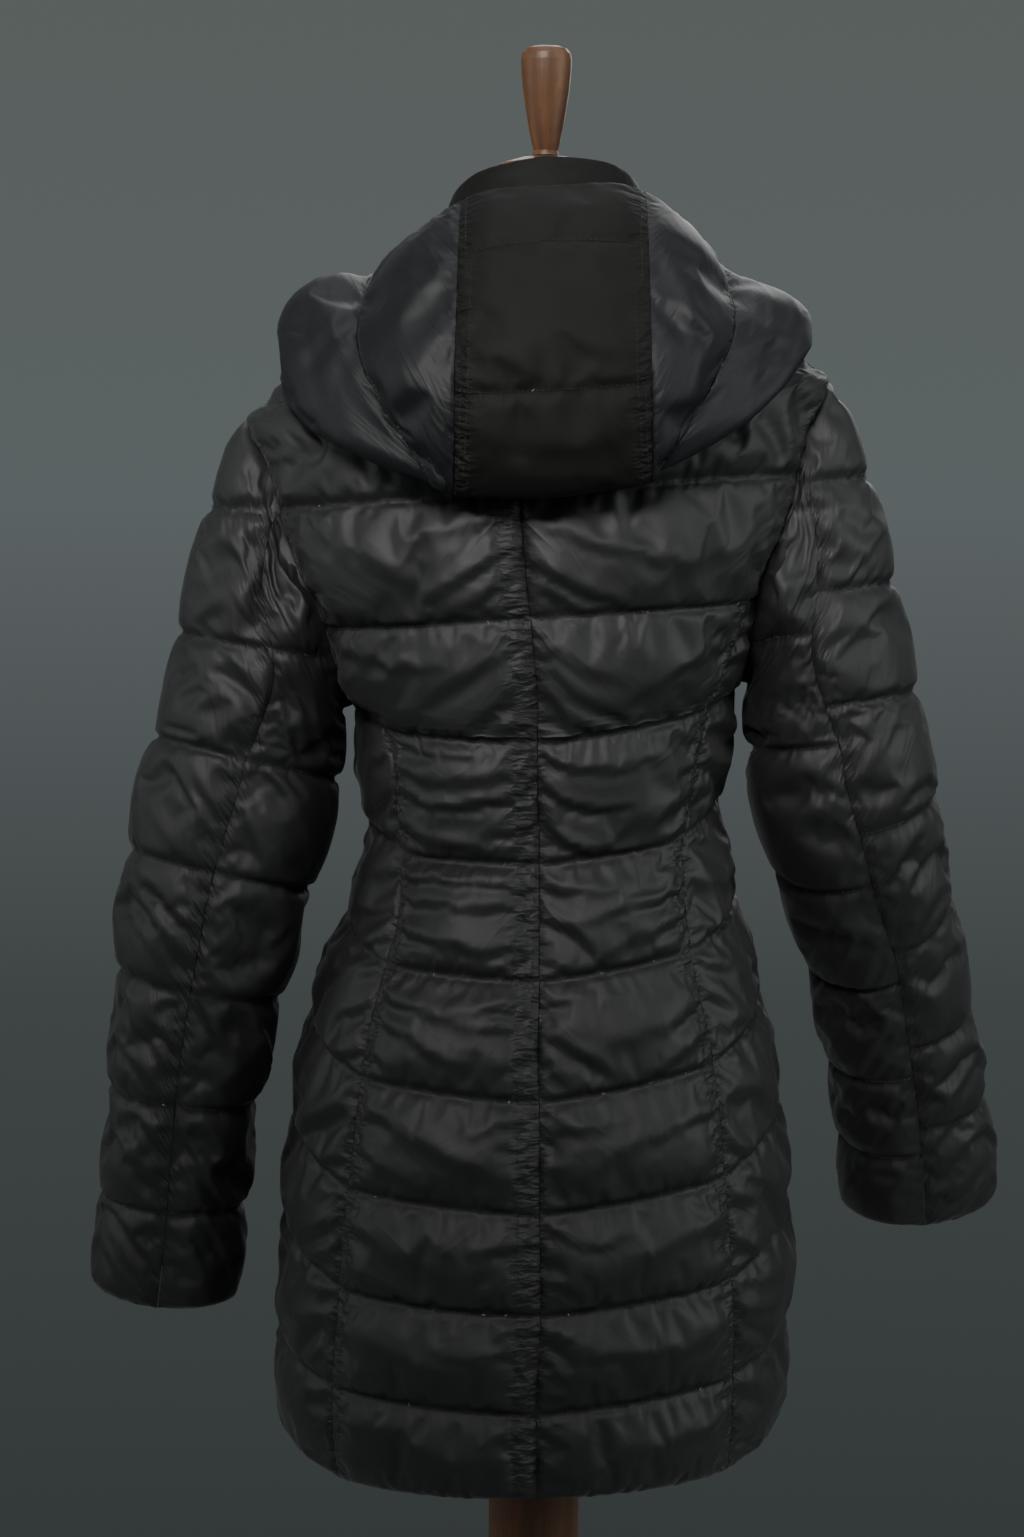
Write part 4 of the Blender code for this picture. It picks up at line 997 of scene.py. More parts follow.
def drag_folds(p, seed, each=3, reach=(.022, .065), width=(.0042, .0075), height=(.0009, .0020), lean=.35, flip=1):
    """Folds running in from both seams of every channel, as down cloth takes where stitching gathers it."""
    rng = np.random.default_rng(seed)
    A = np.stack([p.x, -p.y * flip], -1)
    out = np.zeros(p.x.shape)
    k = rank(p.q) if p in body_panels else p.q
    col = p.x.shape[1] // 2
    marks = [np.interp(m, k[:, col] if k[-1, col] > k[0, col] else k[::-1, col],
                       p.y[:, col] if k[-1, col] > k[0, col] else p.y[::-1, col])
             for m in range(int(math.ceil(k[:, col].min() + .01)), int(math.floor(k[:, col].max() - .01)) + 1)]
    marks = sorted([float(p.y[0, col]), float(p.y[-1, col])] + marks)
    for a, b in zip(marks, marks[1:]):
        if b - a < .02:
            continue
        for end in (0, 1):
            for j in range(each):
                y0 = a + (b - a) * (j + rng.uniform(.25, .75)) / each
                row = int(np.abs(p.y[:, col] - y0).argmin())
                W = float(p.width[row, 0])
                L = min(rng.uniform(*reach), W * .62)
                x0 = .004 if end == 0 else W - .004
                x2 = x0 + L * (1 if end == 0 else -1)
                drop = L * (lean + rng.uniform(-.28, .28))
                Y0, Y2 = -y0 * flip, -y0 * flip + drop
                pts = ((x0, Y0), ((x0 + x2) / 2, (Y0 + Y2) / 2 + rng.uniform(-.1, .25) * L * .5), (x2, Y2))
                out += ridge(A, pts, rng.uniform(*width), rng.uniform(*height))
    free = np.abs(k - np.round(k))
    return out * np.clip(free / .12, 0, 1) * np.clip(p.seam / .006, 0, 1)


for n, p in enumerate(body_panels):
    if p.name in ("back_left", "back_right"):
        A = to_photo(p.base)
        wander = np.random.default_rng(77 + n)
        A = A + np.stack([5 * noise_field(p.x.shape, (26, 5), wander, 2), 7 * noise_field(p.x.shape, (22, 5), wander, 2)], -1)
        vary = np.random.default_rng(5)
        f = np.zeros(p.x.shape)
        for a, b, c, w, h in BACK_FOLDS:
            f += ridge(A, (a, b, c), w * vary.uniform(.7, 1.15), h / 1000 * vary.uniform(.5, 1.05))
        k = rank(p.q)
        f *= np.clip(np.abs(k - np.round(k)) / .10, 0, 1) * np.clip(p.seam / .005, 0, 1)
        p.fold = f + drag_folds(p, 200 + n, 2, (.015, .035), (.003, .005), (.0005, .0011))
    else:
        p.fold = drag_folds(p, 200 + n, 3)
for n, p in enumerate(sleeve_panels):
    p.fold = drag_folds(p, 300 + n, 3, (.030, .095), (.0036, .0065), (.0006, .0016), .34, -1)
HOOD_FOLDS = [
    ((462, 215), (425, 250), (385, 292), 11, 2.4), ((458, 250), (430, 290), (398, 335), 10, 2.0),
    ((362, 268), (320, 288), (284, 330), 12, 2.4), ((352, 312), (322, 340), (298, 372), 10, 1.8),
    ((372, 405), (400, 430), (440, 452), 10, 1.6), ((450, 330), (420, 370), (400, 410), 12, 1.6),
    ((366, 330), (340, 360), (330, 400), 9, 1.4), ((300, 300), (290, 330), (292, 360), 8, 1.2),
    ((652, 232), (700, 262), (736, 300), 9, 2.6), ((655, 296), (690, 322), (716, 345), 9, 2.4),
    ((662, 262), (682, 305), (690, 350), 8, 1.8), ((738, 292), (770, 308), (802, 322), 9, 1.8),
    ((738, 352), (768, 342), (800, 348), 9, 1.6), ((655, 400), (690, 395), (722, 375), 11, 1.6),
    ((660, 450), (690, 435), (720, 410), 9, 1.4), ((742, 380), (762, 372), (790, 366), 8, 1.2),
    ((475, 300), (540, 312), (630, 298), 14, 1.3), ((560, 330), (600, 350), (642, 352), 10, 1.4),
    ((475, 350), (520, 366), (560, 390), 11, 1.3), ((480, 432), (550, 442), (640, 424), 13, 1.2),
    ((480, 240), (540, 248), (600, 262), 12, 1.2), ((500, 472), (560, 476), (620, 468), 9, 1.0),
]
for n, p in enumerate(hood_panels + collar_panels):
    p.fold = np.zeros(p.x.shape)
    if p.name == "collar":
        continue
    A = to_photo(p.base)
    for a, b, c, w, h in HOOD_FOLDS:
        p.fold += ridge(A, (a, b, c), w, h / 1000)
    p.fold *= (p.q < p.q.max() - 1.1) * np.clip(p.seam / .006, 0, 1)
for p in body_panels + sleeve_panels + hood_panels:
    p.outer = p.outer + p.normal * (p.fold * .5)[..., None]

import time
t0 = time.time()
print("verts", sum(p.outer.shape[0] * p.outer.shape[1] for p in body_panels + sleeve_panels + hood_panels + collar_panels))
print("body", simulate(body_panels, 18, 2.2, .028, 3.0, .007), time.time() - t0)
print("sleeves", simulate(sleeve_panels, 18, 1.7, .030, 2.2, .0055), time.time() - t0)
print("hood", simulate(hood_panels + collar_panels, 16, .6, .010, 3.0, .0030), time.time() - t0)
for p in body_panels + sleeve_panels + hood_panels:
    p.outer = p.outer + p.normal * (p.fold * .6)[..., None]


# =================================================================== materials
def tree(name):
    m = bpy.data.materials.new(name)
    m.use_nodes = True
    nt = m.node_tree
    return m, nt, nt.nodes["Principled BSDF"]


def node(nt, kind, **sets):
    n = nt.nodes.new(kind)
    for k, v in sets.items():
        if hasattr(n, k):
            setattr(n, k, v)
        else:
            n.inputs[k.replace("_", " ")].default_value = v
    return n


def calc(nt, op, a, b=None, c=None, clamp=False):
    n = nt.nodes.new("ShaderNodeMath")
    n.operation = op
    n.use_clamp = clamp
    for i, v in enumerate((a, b, c)):
        if v is None:
            continue
        if isinstance(v, (int, float)):
            n.inputs[i].default_value = v
        else:
            nt.links.new(v, n.inputs[i])
    return n.outputs[0]


def noise(nt, vec, scale, detail=3.0, rough=.55, dist=0.0):
    n = nt.nodes.new("ShaderNodeTexNoise")
    n.inputs["Scale"].default_value = scale
    n.inputs["Detail"].default_value = detail
    n.inputs["Roughness"].default_value = rough
    n.inputs["Distortion"].default_value = dist
    nt.links.new(vec, n.inputs["Vector"])
    return n.outputs["Fac"]


def ramp(nt, fac, stops):
    n = nt.nodes.new("ShaderNodeValToRGB")
    while len(n.color_ramp.elements) < len(stops):
        n.color_ramp.elements.new(.5)
    for e, (pos, col) in zip(n.color_ramp.elements, stops):
        e.position = pos
        e.color = col
    nt.links.new(fac, n.inputs["Fac"])
    return n.outputs["Color"]


def nylon(name, dark, light, rough, sheen, spec=.5, pucker=1.0, weave=1.0, crease=1.0, tint=(1, 1, 1, 1)):
    """Down-proof nylon: fine weave, small creases, gathers along the seams and stitched lines."""
    m, nt, p = tree(name)
    tc = node(nt, "ShaderNodeTexCoord")
    ob = tc.outputs["Object"]
    big = noise(nt, ob, 9, 3)
    fine = noise(nt, ob, 160, 4, .6, .4)
    col = ramp(nt, big, [(.35, dark), (.70, light)])
    # a little lighter dust caught where threads are proud
    lint = noise(nt, ob, 420, 2, .5)
    speck = calc(nt, "GREATER_THAN", lint, .765)
    mix = nt.nodes.new("ShaderNodeMix")
    mix.data_type = "RGBA"
    nt.links.new(calc(nt, "MULTIPLY", speck, .18), mix.inputs["Factor"])
    nt.links.new(col, mix.inputs["A"])
    mix.inputs["B"].default_value = (.10, .10, .105, 1)
    nt.links.new(mix.outputs["Result"], p.inputs["Base Color"])
    r = calc(nt, "ADD", calc(nt, "MULTIPLY", big, .16), rough - .08)
    nt.links.new(r, p.inputs["Roughness"])
    p.inputs["Specular IOR Level"].default_value = spec
    p.inputs["Sheen Weight"].default_value = sheen
    p.inputs["Sheen Roughness"].default_value = .35
    p.inputs["Sheen Tint"].default_value = tint
    seams = node(nt, "ShaderNodeUVMap", uv_map="seams")
    lines = node(nt, "ShaderNodeUVMap", uv_map="lines")
    h = calc(nt, "MULTIPLY", fine, .10)
    # small sharp creases
    cr = nt.nodes.new("ShaderNodeTexNoise")
    cr.noise_type = "RIDGED_MULTIFRACTAL"
    cr.inputs["Scale"].default_value = 26
    cr.inputs["Detail"].default_value = 4
    nt.links.new(ob, cr.inputs["Vector"])
    h = calc(nt, "ADD", h, calc(nt, "MULTIPLY", cr.outputs["Fac"], .035))
    for uvn, fine_run, reach, gain in ((seams, 2.1, .36, 2.0), (lines, 1.25, .60, .95)):
        # gathers: ripples that run away from the stitching, uneven in size and length
        sep = node(nt, "ShaderNodeSeparateXYZ")
        nt.links.new(uvn.outputs["UV"], sep.inputs[0])
        a, b = sep.outputs["X"], sep.outputs["Y"]
        com = node(nt, "ShaderNodeCombineXYZ")
        if uvn is seams:         # the place across the piece, so that ripples in a stitched band are short
            run = node(nt, "ShaderNodeSeparateXYZ")
            nt.links.new(lines.outputs["UV"], run.inputs[0])
            nt.links.new(calc(nt, "MULTIPLY", run.outputs["Y"], .95), com.inputs["X"])
        else:
            nt.links.new(calc(nt, "MULTIPLY", a, .55), com.inputs["X"])
        nt.links.new(calc(nt, "MULTIPLY", b, fine_run), com.inputs["Y"])
        wave = calc(nt, "SUBTRACT", noise(nt, com.outputs[0], 1.0, 2.5, .5, .25), .5)
        near = calc(nt, "EXPONENT", calc(nt, "MULTIPLY", a, -1 / reach))
        vary = noise(nt, uvn.outputs["UV"], .45, 2)
        h = calc(nt, "ADD", h, calc(nt, "MULTIPLY", calc(nt, "MULTIPLY", wave, near), calc(nt, "MULTIPLY", vary, 4.2 * gain * pucker)))
    # slack creases in the cloth, short and curved, running with the channel and fading from the seams
    sep = node(nt, "ShaderNodeSeparateXYZ")
    nt.links.new(seams.outputs["UV"], sep.inputs[0])
    com = node(nt, "ShaderNodeCombineXYZ")
    tilt = calc(nt, "MULTIPLY", noise(nt, ob, 4, 0), 1.0)
    nt.links.new(calc(nt, "MULTIPLY", sep.outputs["X"], .26), com.inputs["X"])
    nt.links.new(calc(nt, "ADD", calc(nt, "MULTIPLY", sep.outputs["Y"], .60), calc(nt, "MULTIPLY", sep.outputs["X"], tilt)), com.inputs["Y"])
    slack = calc(nt, "ABSOLUTE", calc(nt, "SUBTRACT", noise(nt, com.outputs[0], 1.0, 1.6, .5, .3), .5))
    near = calc(nt, "ADD", calc(nt, "MULTIPLY", calc(nt, "EXPONENT", calc(nt, "MULTIPLY", sep.outputs["X"], -.45)), .8), .28)
    h = calc(nt, "SUBTRACT", h, calc(nt, "MULTIPLY", calc(nt, "MULTIPLY", slack, near), 2.6 * crease))
    # weave of the cloth
    wv = nt.nodes.new("ShaderNodeTexNoise")
    wv.inputs["Scale"].default_value = 1900
    wv.inputs["Detail"].default_value = 1
    nt.links.new(ob, wv.inputs["Vector"])
    h = calc(nt, "ADD", h, calc(nt, "MULTIPLY", wv.outputs["Fac"], .05 * weave))
    bump = node(nt, "ShaderNodeBump")
    bump.inputs["Strength"].default_value = .55
    bump.inputs["Distance"].default_value = .0016
    nt.links.new(h, bump.inputs["Height"])
    nt.links.new(bump.outputs["Normal"], p.inputs["Normal"])
    return m


def wood(name, axis_scale=(38, 38, 3.0)):
    m, nt, p = tree(name)
    tc = node(nt, "ShaderNodeTexCoord")
    mp = node(nt, "ShaderNodeMapping")
    mp.inputs["Scale"].default_value = axis_scale
    nt.links.new(tc.outputs["Object"], mp.inputs["Vector"])
    grain = noise(nt, mp.outputs["Vector"], 1.6, 6, .6, .6)
    mp2 = node(nt, "ShaderNodeMapping")
    mp2.inputs["Scale"].default_value = (900, 900, 60)
    nt.links.new(tc.outputs["Object"], mp2.inputs["Vector"])
    pore = noise(nt, mp2.outputs["Vector"], 1.0, 2, .5)
    col = ramp(nt, grain, [(.30, (.056, .021, .0060, 1)), (.52, (.105, .042, .0118, 1)), (.75, (.165, .071, .0225, 1))])
    dark = calc(nt, "GREATER_THAN", pore, .64)
    mix = nt.nodes.new("ShaderNodeMix")
    mix.data_type = "RGBA"
    nt.links.new(calc(nt, "MULTIPLY", dark, .45), mix.inputs["Factor"])
    nt.links.new(col, mix.inputs["A"])
    mix.inputs["B"].default_value = (.045, .014, .006, 1)
    nt.links.new(mix.outputs["Result"], p.inputs["Base Color"])
    nt.links.new(calc(nt, "ADD", calc(nt, "MULTIPLY", grain, .2), .42), p.inputs["Roughness"])
    p.inputs["Coat Weight"].default_value = .08
    p.inputs["Coat Roughness"].default_value = .25
    bump = node(nt, "ShaderNodeBump")
    bump.inputs["Strength"].default_value = .25
    bump.inputs["Distance"].default_value = .0006
    nt.links.new(calc(nt, "SUBTRACT", grain, calc(nt, "MULTIPLY", dark, .4)), bump.inputs["Height"])
    nt.links.new(bump.outputs["Normal"], p.inputs["Normal"])
    return m


def plain(name, dark, light, rough, metal=0.0, scale=300, strength=.3, dist=.0004):
    m, nt, p = tree(name)
    tc = node(nt, "ShaderNodeTexCoord")
    n1 = noise(nt, tc.outputs["Object"], scale, 4)
    col = ramp(nt, n1, [(.3, dark), (.7, light)])
    nt.links.new(col, p.inputs["Base Color"])
    nt.links.new(calc(nt, "ADD", calc(nt, "MULTIPLY", n1, .2), rough - .1), p.inputs["Roughness"])
    p.inputs["Metallic"].default_value = metal
    bump = node(nt, "ShaderNodeBump")
    bump.inputs["Strength"].default_value = strength
    bump.inputs["Distance"].default_value = dist
    nt.links.new(n1, bump.inputs["Height"])
    nt.links.new(bump.outputs["Normal"], p.inputs["Normal"])
    return m


SHELL = nylon("shell_nylon", (.0070, .0071, .0074, 1), (.0104, .0106, .0112, 1), .58, .06, .46)
DULL = nylon("dull_nylon", (.0034, .0033, .0028, 1), (.0050, .0048, .0041, 1), .70, .025, .20, pucker=1.5, weave=2.0, crease=.6)
# hood side and edge pieces: base colour tinted blue, a painted sheen standing in for the bluish satin sheen; its
# roughness and specular give the real satin finish
SATIN_PAINTED_SHEEN = nylon("satin_nylon", (.0027, .0031, .0041, 1), (.0044, .0050, .0066, 1), .57, .03, .34, pucker=.6, crease=.8)
WOOD = wood("beech_stain")
THREAD = plain("thread", (.014, .014, .015, 1), (.034, .034, .036, 1), .70, 0, 900)
METAL = plain("dark_metal", (.055, .055, .055, 1), (.11, .11, .11, 1), .35, 1, 500, .15)
TAPE = plain("tape", (.008, .008, .009, 1), (.016, .016, .017, 1), .75, 0, 1400)
TEETH = plain("zip_teeth", (.012, .012, .012, 1), (.020, .020, .020, 1), .32, 0, 600)
LINEN = plain("form_cover", (.36, .31, .24, 1), (.52, .46, .37, 1), .85, 0, 700, .6)

FLUFF = plain("down_fluff", (.30, .29, .27, 1), (.42, .41, .39, 1), .9, 0, 900)


# =================================================================== cloth pieces
def gathers(seed, low=0.0, high=0.0, seam_amp=.0003, line_amp=.00035):
    """Small gathers drawn in by the stitching, finer than the channels' own folds."""
    rng = np.random.default_rng(seed)
    ph = rng.uniform(0, 6.28, 8)

    def f(q, x, y, width):
        side = np.maximum(0, np.minimum(x - low, width - x - high))
        a = np.sin(y * 2 * pi / .0105 + 3.4 * np.sin(y * 71 + ph[0]) + 2.2 * np.sin(y * 163 + ph[6]) + ph[1]) * np.exp(-side / .007) * (.6 + .4 * np.sin(y * 63 + ph[2]))
        d = np.abs(q - np.round(q)) * .075
        b = np.sin(x * 2 * pi / .0135 + 3.6 * np.sin(x * 61 + ph[3]) + 2.4 * np.sin(x * 143 + ph[7]) + ph[4]) * np.exp(-d / .009) * (.6 + .4 * np.sin(x * 71 + ph[5]))
        groove = -.0011 * np.exp(-(d / .0032) ** 2)
        return seam_amp * a + line_amp * b + groove
    return f


pieces = {}
for p in body_panels + sleeve_panels:
    if p in body_panels:
        p.q = rank(p.q)
    pieces[p.name] = finish_panel(p, SHELL, "shell_nylon", gathers(len(p.name) * 7 + int(p.base.shape[1]), p.low, p.high), refine=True)
for p in hood_panels + collar_panels:
    duller = p.name in ("hood_centre", "collar")
    # hood side and edge pieces take the nylon whose blue base tint is painted sheen
    pieces[p.name] = finish_panel(p, DULL if duller else SATIN_PAINTED_SHEEN, "x", gathers(len(p.name) * 5 + 3, p.low, p.high, .0004, .0003), refine=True)


# =================================================================== stitches
def stitch_rows(name, rows, pitch=.0034, length=.0024, width=.00042, height=.0003):
    verts, faces = [], []
    for pts, nrm in rows:
        d = np.linalg.norm(np.diff(pts, axis=0), axis=1)
        arc = np.concatenate([[0], np.cumsum(d)])
        if arc[-1] < .01:
            continue
        s = np.arange(pitch, arc[-1] - pitch, pitch)
        P = np.stack([np.interp(s, arc, pts[:, k]) for k in range(3)], -1)
        A = np.stack([np.interp(s + length / 2, arc, pts[:, k]) for k in range(3)], -1) - np.stack(
            [np.interp(s - length / 2, arc, pts[:, k]) for k in range(3)], -1)
        N = np.stack([np.interp(s, arc, nrm[:, k]) for k in range(3)], -1)
        N /= np.linalg.norm(N, axis=1, keepdims=True)
        A /= np.maximum(np.linalg.norm(A, axis=1, keepdims=True), 1e-9)
        B = np.cross(N, A)
        at = len(verts)
        for i in range(len(s)):
            c, a, b, n = P[i] + N[i] * .00012, A[i] * length / 2, B[i] * width / 2, N[i] * height
            verts += [c - a - n * .6, c - a * .6 + b, c - a * .6 + n, c - a * .6 - b,
                      c + a * .6 + b, c + a * .6 + n, c + a * .6 - b, c + a - n * .6, c - n * .8]
            k = at + 9 * i
            faces += [(k, k + 1, k + 2), (k, k + 2, k + 3), (k + 1, k + 4, k + 5, k + 2), (k + 2, k + 5, k + 6, k + 3),
                      (k + 4, k + 7, k + 5), (k + 5, k + 7, k + 6), (k, k + 3, k + 8), (k, k + 8, k + 1),
                      (k + 7, k + 4, k + 8), (k + 7, k + 8, k + 6), (k + 3, k + 6, k + 8), (k + 1, k + 8, k + 4)]
    mesh = bpy.data.meshes.new(name)
    mesh.from_pydata([tuple(v) for v in verts], [], faces)
    bm = bmesh.new()
    bm.from_mesh(mesh)
    bmesh.ops.recalc_face_normals(bm, faces=bm.faces)
    bm.to_mesh(mesh)
    bm.free()
    ob = bpy.data.objects.new(name, mesh)
    scene.collection.objects.link(ob)
    mesh.materials.append(THREAD)
    return ob


def line_rows(p, dq=1e-3):
    """Every stitched line of a panel: its points and normals."""
    out = []
    N = grid_normals(p.outer)
    if np.sum(N * p.normal) < 0:
        N = -N
    R, C = p.q.shape
    for m in range(int(math.ceil(p.q.min() + .3)), int(math.floor(p.q.max() - .3)) + 1):
        r = np.abs(p.q - m).argmin(0)
        ok = np.abs(p.q - m).min(0) < .06
        cols = np.nonzero(ok)[0]
        if len(cols) > 4:
            out.append((p.outer[r[cols], cols], N[r[cols], cols]))
    return out


def side_rows(p, where, dist):
    N = grid_normals(p.outer)
    if np.sum(N * p.normal) < 0:
        N = -N
    t = np.full(p.x.shape[0], dist) if where == "low" else p.width[:, 0] - dist
    j = np.abs(p.x - t[:, None]).argmin(1)
    i = np.arange(p.x.shape[0])
    ok = (j > 0) & (j < p.x.shape[1] - 1)
    return [(p.outer[i[ok], j[ok]], N[i[ok], j[ok]])]


def named(group, name):
    return [p for p in group if p.name == name][0]


rows = []
for p in body_panels:
    rows += line_rows(p)
bl, br = named(body_panels, "back_left"), named(body_panels, "back_right")
rows += side_rows(bl, "high", CB_BAND) + side_rows(bl, "high", .0025) + side_rows(bl, "low", PR_BAND) + side_rows(br, "high", PR_BAND)
for p in body_panels:
    if p.name.startswith("front"):
        rows += side_rows(p, "low" if p.name.endswith("left") else "high", .012)
stitches = [stitch_rows("stitches_body", rows)]
rows = []
for p in sleeve_panels:
    rows += line_rows(p)
    if p.name.endswith("outer"):
        rows += side_rows(p, "high", .006)
stitches.append(stitch_rows("stitches_sleeves", rows))
rows = []
hc = named(hood_panels, "hood_centre")
rows += line_rows(hc) + side_rows(hc, "low", .0075) + side_rows(hc, "high", .0075) + side_rows(hc, "low", .0022) + side_rows(hc, "high", .0022)
for p in hood_panels:
    if "side" in p.name:
        rows += side_rows(p, "low" if p.name.endswith("left") else "high", .004)
rows += line_rows(collar_panels[0])
stitches.append(stitch_rows("stitches_hood", rows))


# =================================================================== down tufts caught in the stitching
def make_tufts(count=34):
    rng = np.random.default_rng(91)
    verts, faces = [], []
    spots = []
    for p, share in ((bl, .40), (br, .40), (hc, .12), (named(sleeve_panels, "sleeve_left_outer"), .08)):
        lines = line_rows(p)
        for _ in range(max(1, int(round(count * share)))):
            pts, nrm = lines[rng.integers(len(lines))]
            i = rng.integers(2, len(pts) - 2)
            spots.append((pts[i], nrm[i]))
    for at, n in spots:
        for _ in range(rng.integers(2, 5)):
            d = rng.normal(size=3)
            d -= n * d.dot(n) * .6
            d /= np.linalg.norm(d)
            side = np.cross(d, n)
            side /= np.linalg.norm(side)
            L, w = rng.uniform(.0006, .0017), rng.uniform(.00009, .00017)
            a = at + n * .0003 + d * .0001
            b = a + d * L * .5 + n * L * .25
            c = a + d * L
            k = len(verts)
            for q in (a, b, c):
                for s, t_ in ((-1, 0), (1, 0), (0, 1)):
                    verts.append(q + side * w * s + n * w * 1.4 * t_)
            for j in (0, 3):
                for m in range(3):
                    x, y = k + j + m, k + j + (m + 1) % 3
                    faces.append((x, y, y + 3, x + 3))
            faces.append((k, k + 2, k + 1))
            faces.append((k + 6, k + 7, k + 8))
    mesh = bpy.data.meshes.new("down_tufts")
    mesh.from_pydata([tuple(v) for v in verts], [], faces)
    bm = bmesh.new()
    bm.from_mesh(mesh)
    bmesh.ops.recalc_face_normals(bm, faces=bm.faces)
    bm.to_mesh(mesh)
    bm.free()
    ob = bpy.data.objects.new("down_tufts", mesh)
    scene.collection.objects.link(ob)
    mesh.materials.append(FLUFF)
    return ob


tufts = make_tufts()


# =================================================================== zip
def zip_path():
    pts, nrm = [], []
    for q in np.linspace(0, 12, 180):
        z = float(level(q, 180.0))
        p, n = body(180.0, z), body_normal(180.0, z)
        n[2] *= 1 - min(1, max(0, q - 11))
        pts.append(p)
        nrm.append(n)
    for v in np.linspace(.06, .97, 20):
        pts.append(collar(180.0, v))
        nrm.append(np.array([0, 1.0, .15]))
    pts, nrm = np.array(pts, float), np.array(nrm, float)
    nrm[:, 0] = 0
    pts[:, 0] = 0
    return pts, nrm / np.linalg.norm(nrm, axis=1, keepdims=True)


def make_zip():
    pts, nrm = zip_path()
    half, t = ZIP_HALF + GAP * .75, .0007
    verts, faces = [], []
    R = len(pts)
    xs = np.array([-half, -half * .55, -.0026, 0, .0026, half * .55, half])
    C = len(xs)
    for s in (1, -1):
        for p, n in zip(pts, nrm):
            for x in xs:
                verts.append(p + np.array([x, 0, 0]) + n * t * s)
    for r in range(R - 1):
        for c in range(C - 1):
            a = r * C + c
            faces.append((a, a + 1, a + C + 1, a + C))
            b = R * C + a
            faces.append((b, b + C, b + C + 1, b + 1))
    for r in range(R - 1):
        for c in (0, C - 1):
            a = r * C + c
            faces.append((a, a + C, R * C + a + C, R * C + a))
    for r in (0, R - 1):
        for c in range(C - 1):
            a = r * C + c
            faces.append((a, a + 1, R * C + a + 1, R * C + a))
    mesh = bpy.data.meshes.new("zip_tape_cloth")
    mesh.from_pydata([tuple(v) for v in verts], [], faces)
    bm = bmesh.new()
    bm.from_mesh(mesh)
    bmesh.ops.recalc_face_normals(bm, faces=bm.faces)
    bm.to_mesh(mesh)
    bm.free()
    tape = bpy.data.objects.new("zip_tape_cloth", mesh)
    scene.collection.objects.link(tape)
    mesh.materials.append(TAPE)
    # moulded teeth, locked together below the slider
    d = np.linalg.norm(np.diff(pts, axis=0), axis=1)
    arc = np.concatenate([[0], np.cumsum(d)])
    zs = np.interp(arc, arc, pts[:, 2])
    stop = float(np.interp(1.4635, zs, arc))
    verts, faces = [], []
    for k, s in enumerate(np.arange(.004, stop, .0014)):
        P = np.array([np.interp(s, arc, pts[:, i]) for i in range(3)])
        A = np.array([np.interp(s + .001, arc, pts[:, i]) - np.interp(s - .001, arc, pts[:, i]) for i in range(3)])
        A /= np.linalg.norm(A)
        N = np.array([np.interp(s, arc, nrm[:, i]) for i in range(3)])
        N -= A * np.dot(A, N)
        N /= np.linalg.norm(N)
        side = 1 if k % 2 else -1
        X = np.array([side, 0, 0.0])
        at = len(verts)
        prof = [(-.0009, .00050), (.0006, .00062), (.0016, .00042), (.0028, .00062)]
        for x, h in prof:
            for (sa, sn) in ((-1, 0), (-1, .72), (-.6, 1), (.6, 1), (1, .72), (1, 0)):
                verts.append(P + X * x + A * h * sa + N * (.0006 + .0013 * sn))
        m = 6
        for i in range(len(prof) - 1):
            for j in range(m):
                a, b = at + i * m + j, at + i * m + (j + 1) % m
                faces.append((a, b, b + m, a + m))
        faces.append(tuple(at + j for j in range(m)))
        faces.append(tuple(at + (len(prof) - 1) * m + j for j in range(m)))
    mesh = bpy.data.meshes.new("zip_teeth")
    mesh.from_pydata([tuple(v) for v in verts], [], faces)
    bm = bmesh.new()
    bm.from_mesh(mesh)
    bmesh.ops.recalc_face_normals(bm, faces=bm.faces)
    bm.to_mesh(mesh)
    bm.free()
    teeth = bpy.data.objects.new("zip_teeth", mesh)
    scene.collection.objects.link(teeth)
    mesh.materials.append(TEETH)
    return tape, teeth


tape, teeth = make_zip()

# =================================================================== CAD nodes that stay
for name, mat in (("form_torso", LINEN), ("form_neck_cap", WOOD), ("form_finial", WOOD), ("stand_post", WOOD),
                  ("stand_base", WOOD), ("zip_slider", METAL), ("zip_pull", METAL)):
    ob = frame["nodes"][name]
    if not ob.material_slots:
        ob.data.materials.append(None)
    for sl in ob.material_slots:
        sl.material = mat

# =================================================================== cloth pieces onto the coat, their CAD parts hidden
# each piece as it was cut, seam allowance and fullness in: width, length, area (metres)
CUT = {
    "back_left": (.24, .99, .134), "side_back_left": (.135, .575, .061), "front_left": (.28, .995, .194),
    "back_right": (.265, .97, .138), "side_back_right": (.14, .63, .0635), "front_right": (.28, .99, .194),
    "sleeve_left_outer": (.295, .65, .122), "sleeve_left_under": (.295, .565, .090),
    "sleeve_right_outer": (.305, .66, .1195), "sleeve_right_under": (.30, .575, .087),
    "hood_centre": (.145, .44, .055), "hood_side_left": (.12, .495, .0285), "hood_side_right": (.11, .495, .0265),
    "hood_edge_left": (.175, .485, .043), "hood_edge_right": (.16, .475, .0385), "collar": (.48, .08, .0296),
}
for p in body_panels + sleeve_panels + hood_panels + collar_panels:
    ob = pieces[p.name]
    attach(ob, "coat")
    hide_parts(p.name)
    w, l, a = CUT[p.name]
for ob in stitches + [teeth, tufts]:
    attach(ob, "coat")
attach(tape, "coat")
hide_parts("zip_tape")

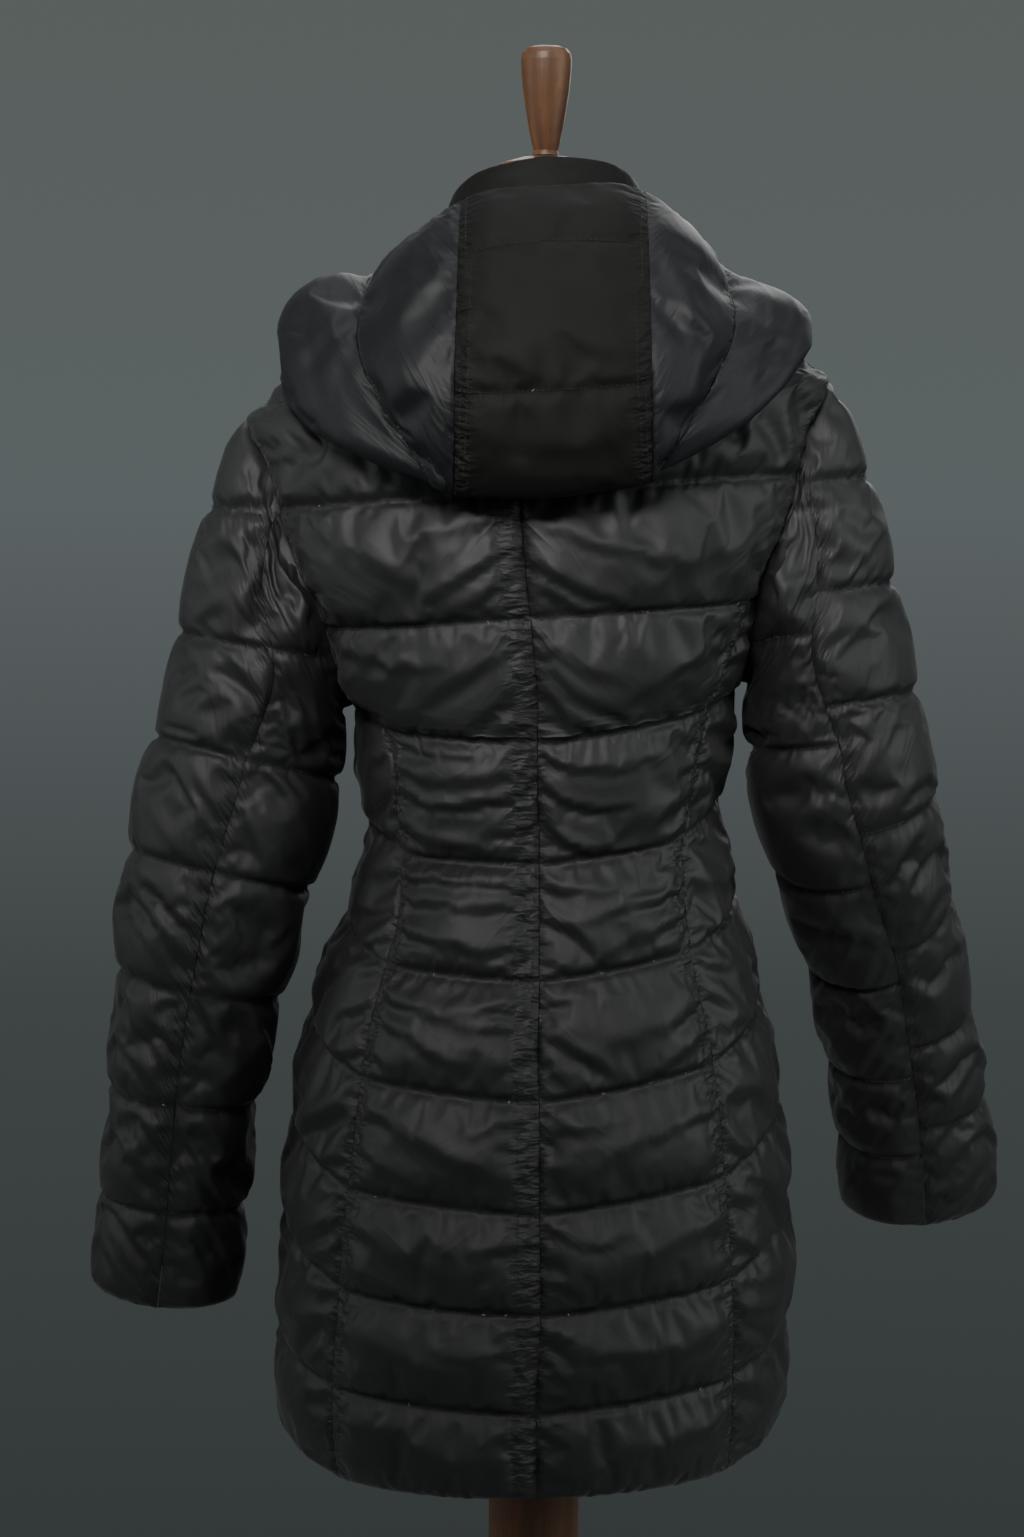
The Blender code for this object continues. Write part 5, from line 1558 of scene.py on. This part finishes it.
# =================================================================== floor, light
mesh = bpy.data.meshes.new("floor")
n = 48
ring = [(1.6 * cos(2 * pi * k / n), 1.6 * sin(2 * pi * k / n), -.0005) for k in range(n)]
mesh.from_pydata(ring, [], [tuple(range(n))])
floor = bpy.data.objects.new("floor", mesh)
scene.collection.objects.link(floor)
fm, fnt, fp = tree("floor_paint")
fp.inputs["Base Color"].default_value = (.36, .37, .37, 1)
fp.inputs["Roughness"].default_value = .8
mesh.materials.append(fm)


def area_light(name, place, target, size, power, colour=(1, 1, 1), spread=150):
    L = bpy.data.lights.new(name, "AREA")
    L.shape = "RECTANGLE"
    L.size, L.size_y = size
    L.energy = power
    L.color = colour
    L.spread = radians(spread)
    ob = bpy.data.objects.new(name, L)
    ob.location = place
    ob.rotation_euler = (Vector(target) - Vector(place)).to_track_quat("-Z", "Y").to_euler()
    scene.collection.objects.link(ob)
    return ob


area_light("key", (-.50, -1.75, 2.45), (0, .02, 1.41), (1.3, .7), 4.2, (1, .995, .98), 38)
area_light("wide", (-.5, -2.6, 2.4), (0, 0, 1.2), (2.2, 1.6), 4.6, (1, .995, .98))
area_light("fill", (2.4, -1.0, 2.0), (.1, 0, 1.15), (1.4, 1.6), 22.5, (.97, .985, 1))
area_light("top", (.1, .25, 3.1), (0, 0, 1.3), (1.6, 1.2), 8, (.98, .99, 1))
area_light("side_left", (-2.6, -.3, 1.7), (0, 0, 1.1), (1.0, 1.6), 9, (.97, .98, 1))
area_light("front", (.6, 3.2, 2.6), (0, 0, 1.1), (1.8, 1.8), 34, (1, 1, 1))
world = bpy.data.worlds.new("world")
world.use_nodes = True
wt = world.node_tree
way = node(wt, "ShaderNodeTexCoord")
sep = node(wt, "ShaderNodeSeparateXYZ")
wt.links.new(way.outputs["Generated"], sep.inputs[0])
sky = ramp(wt, calc(wt, "ADD", calc(wt, "MULTIPLY", sep.outputs["Z"], 1.0), .5), [(.20, (.040, .046, .047, 1)), (.36, (.058, .066, .067, 1)), (.50, (.110, .126, .128, 1)), (.64, (.106, .120, .115, 1)), (1.0, (.17, .18, .18, 1))])
wt.links.new(sky, wt.nodes["Background"].inputs["Color"])
wt.nodes["Background"].inputs["Strength"].default_value = 1.0
scene.world = world
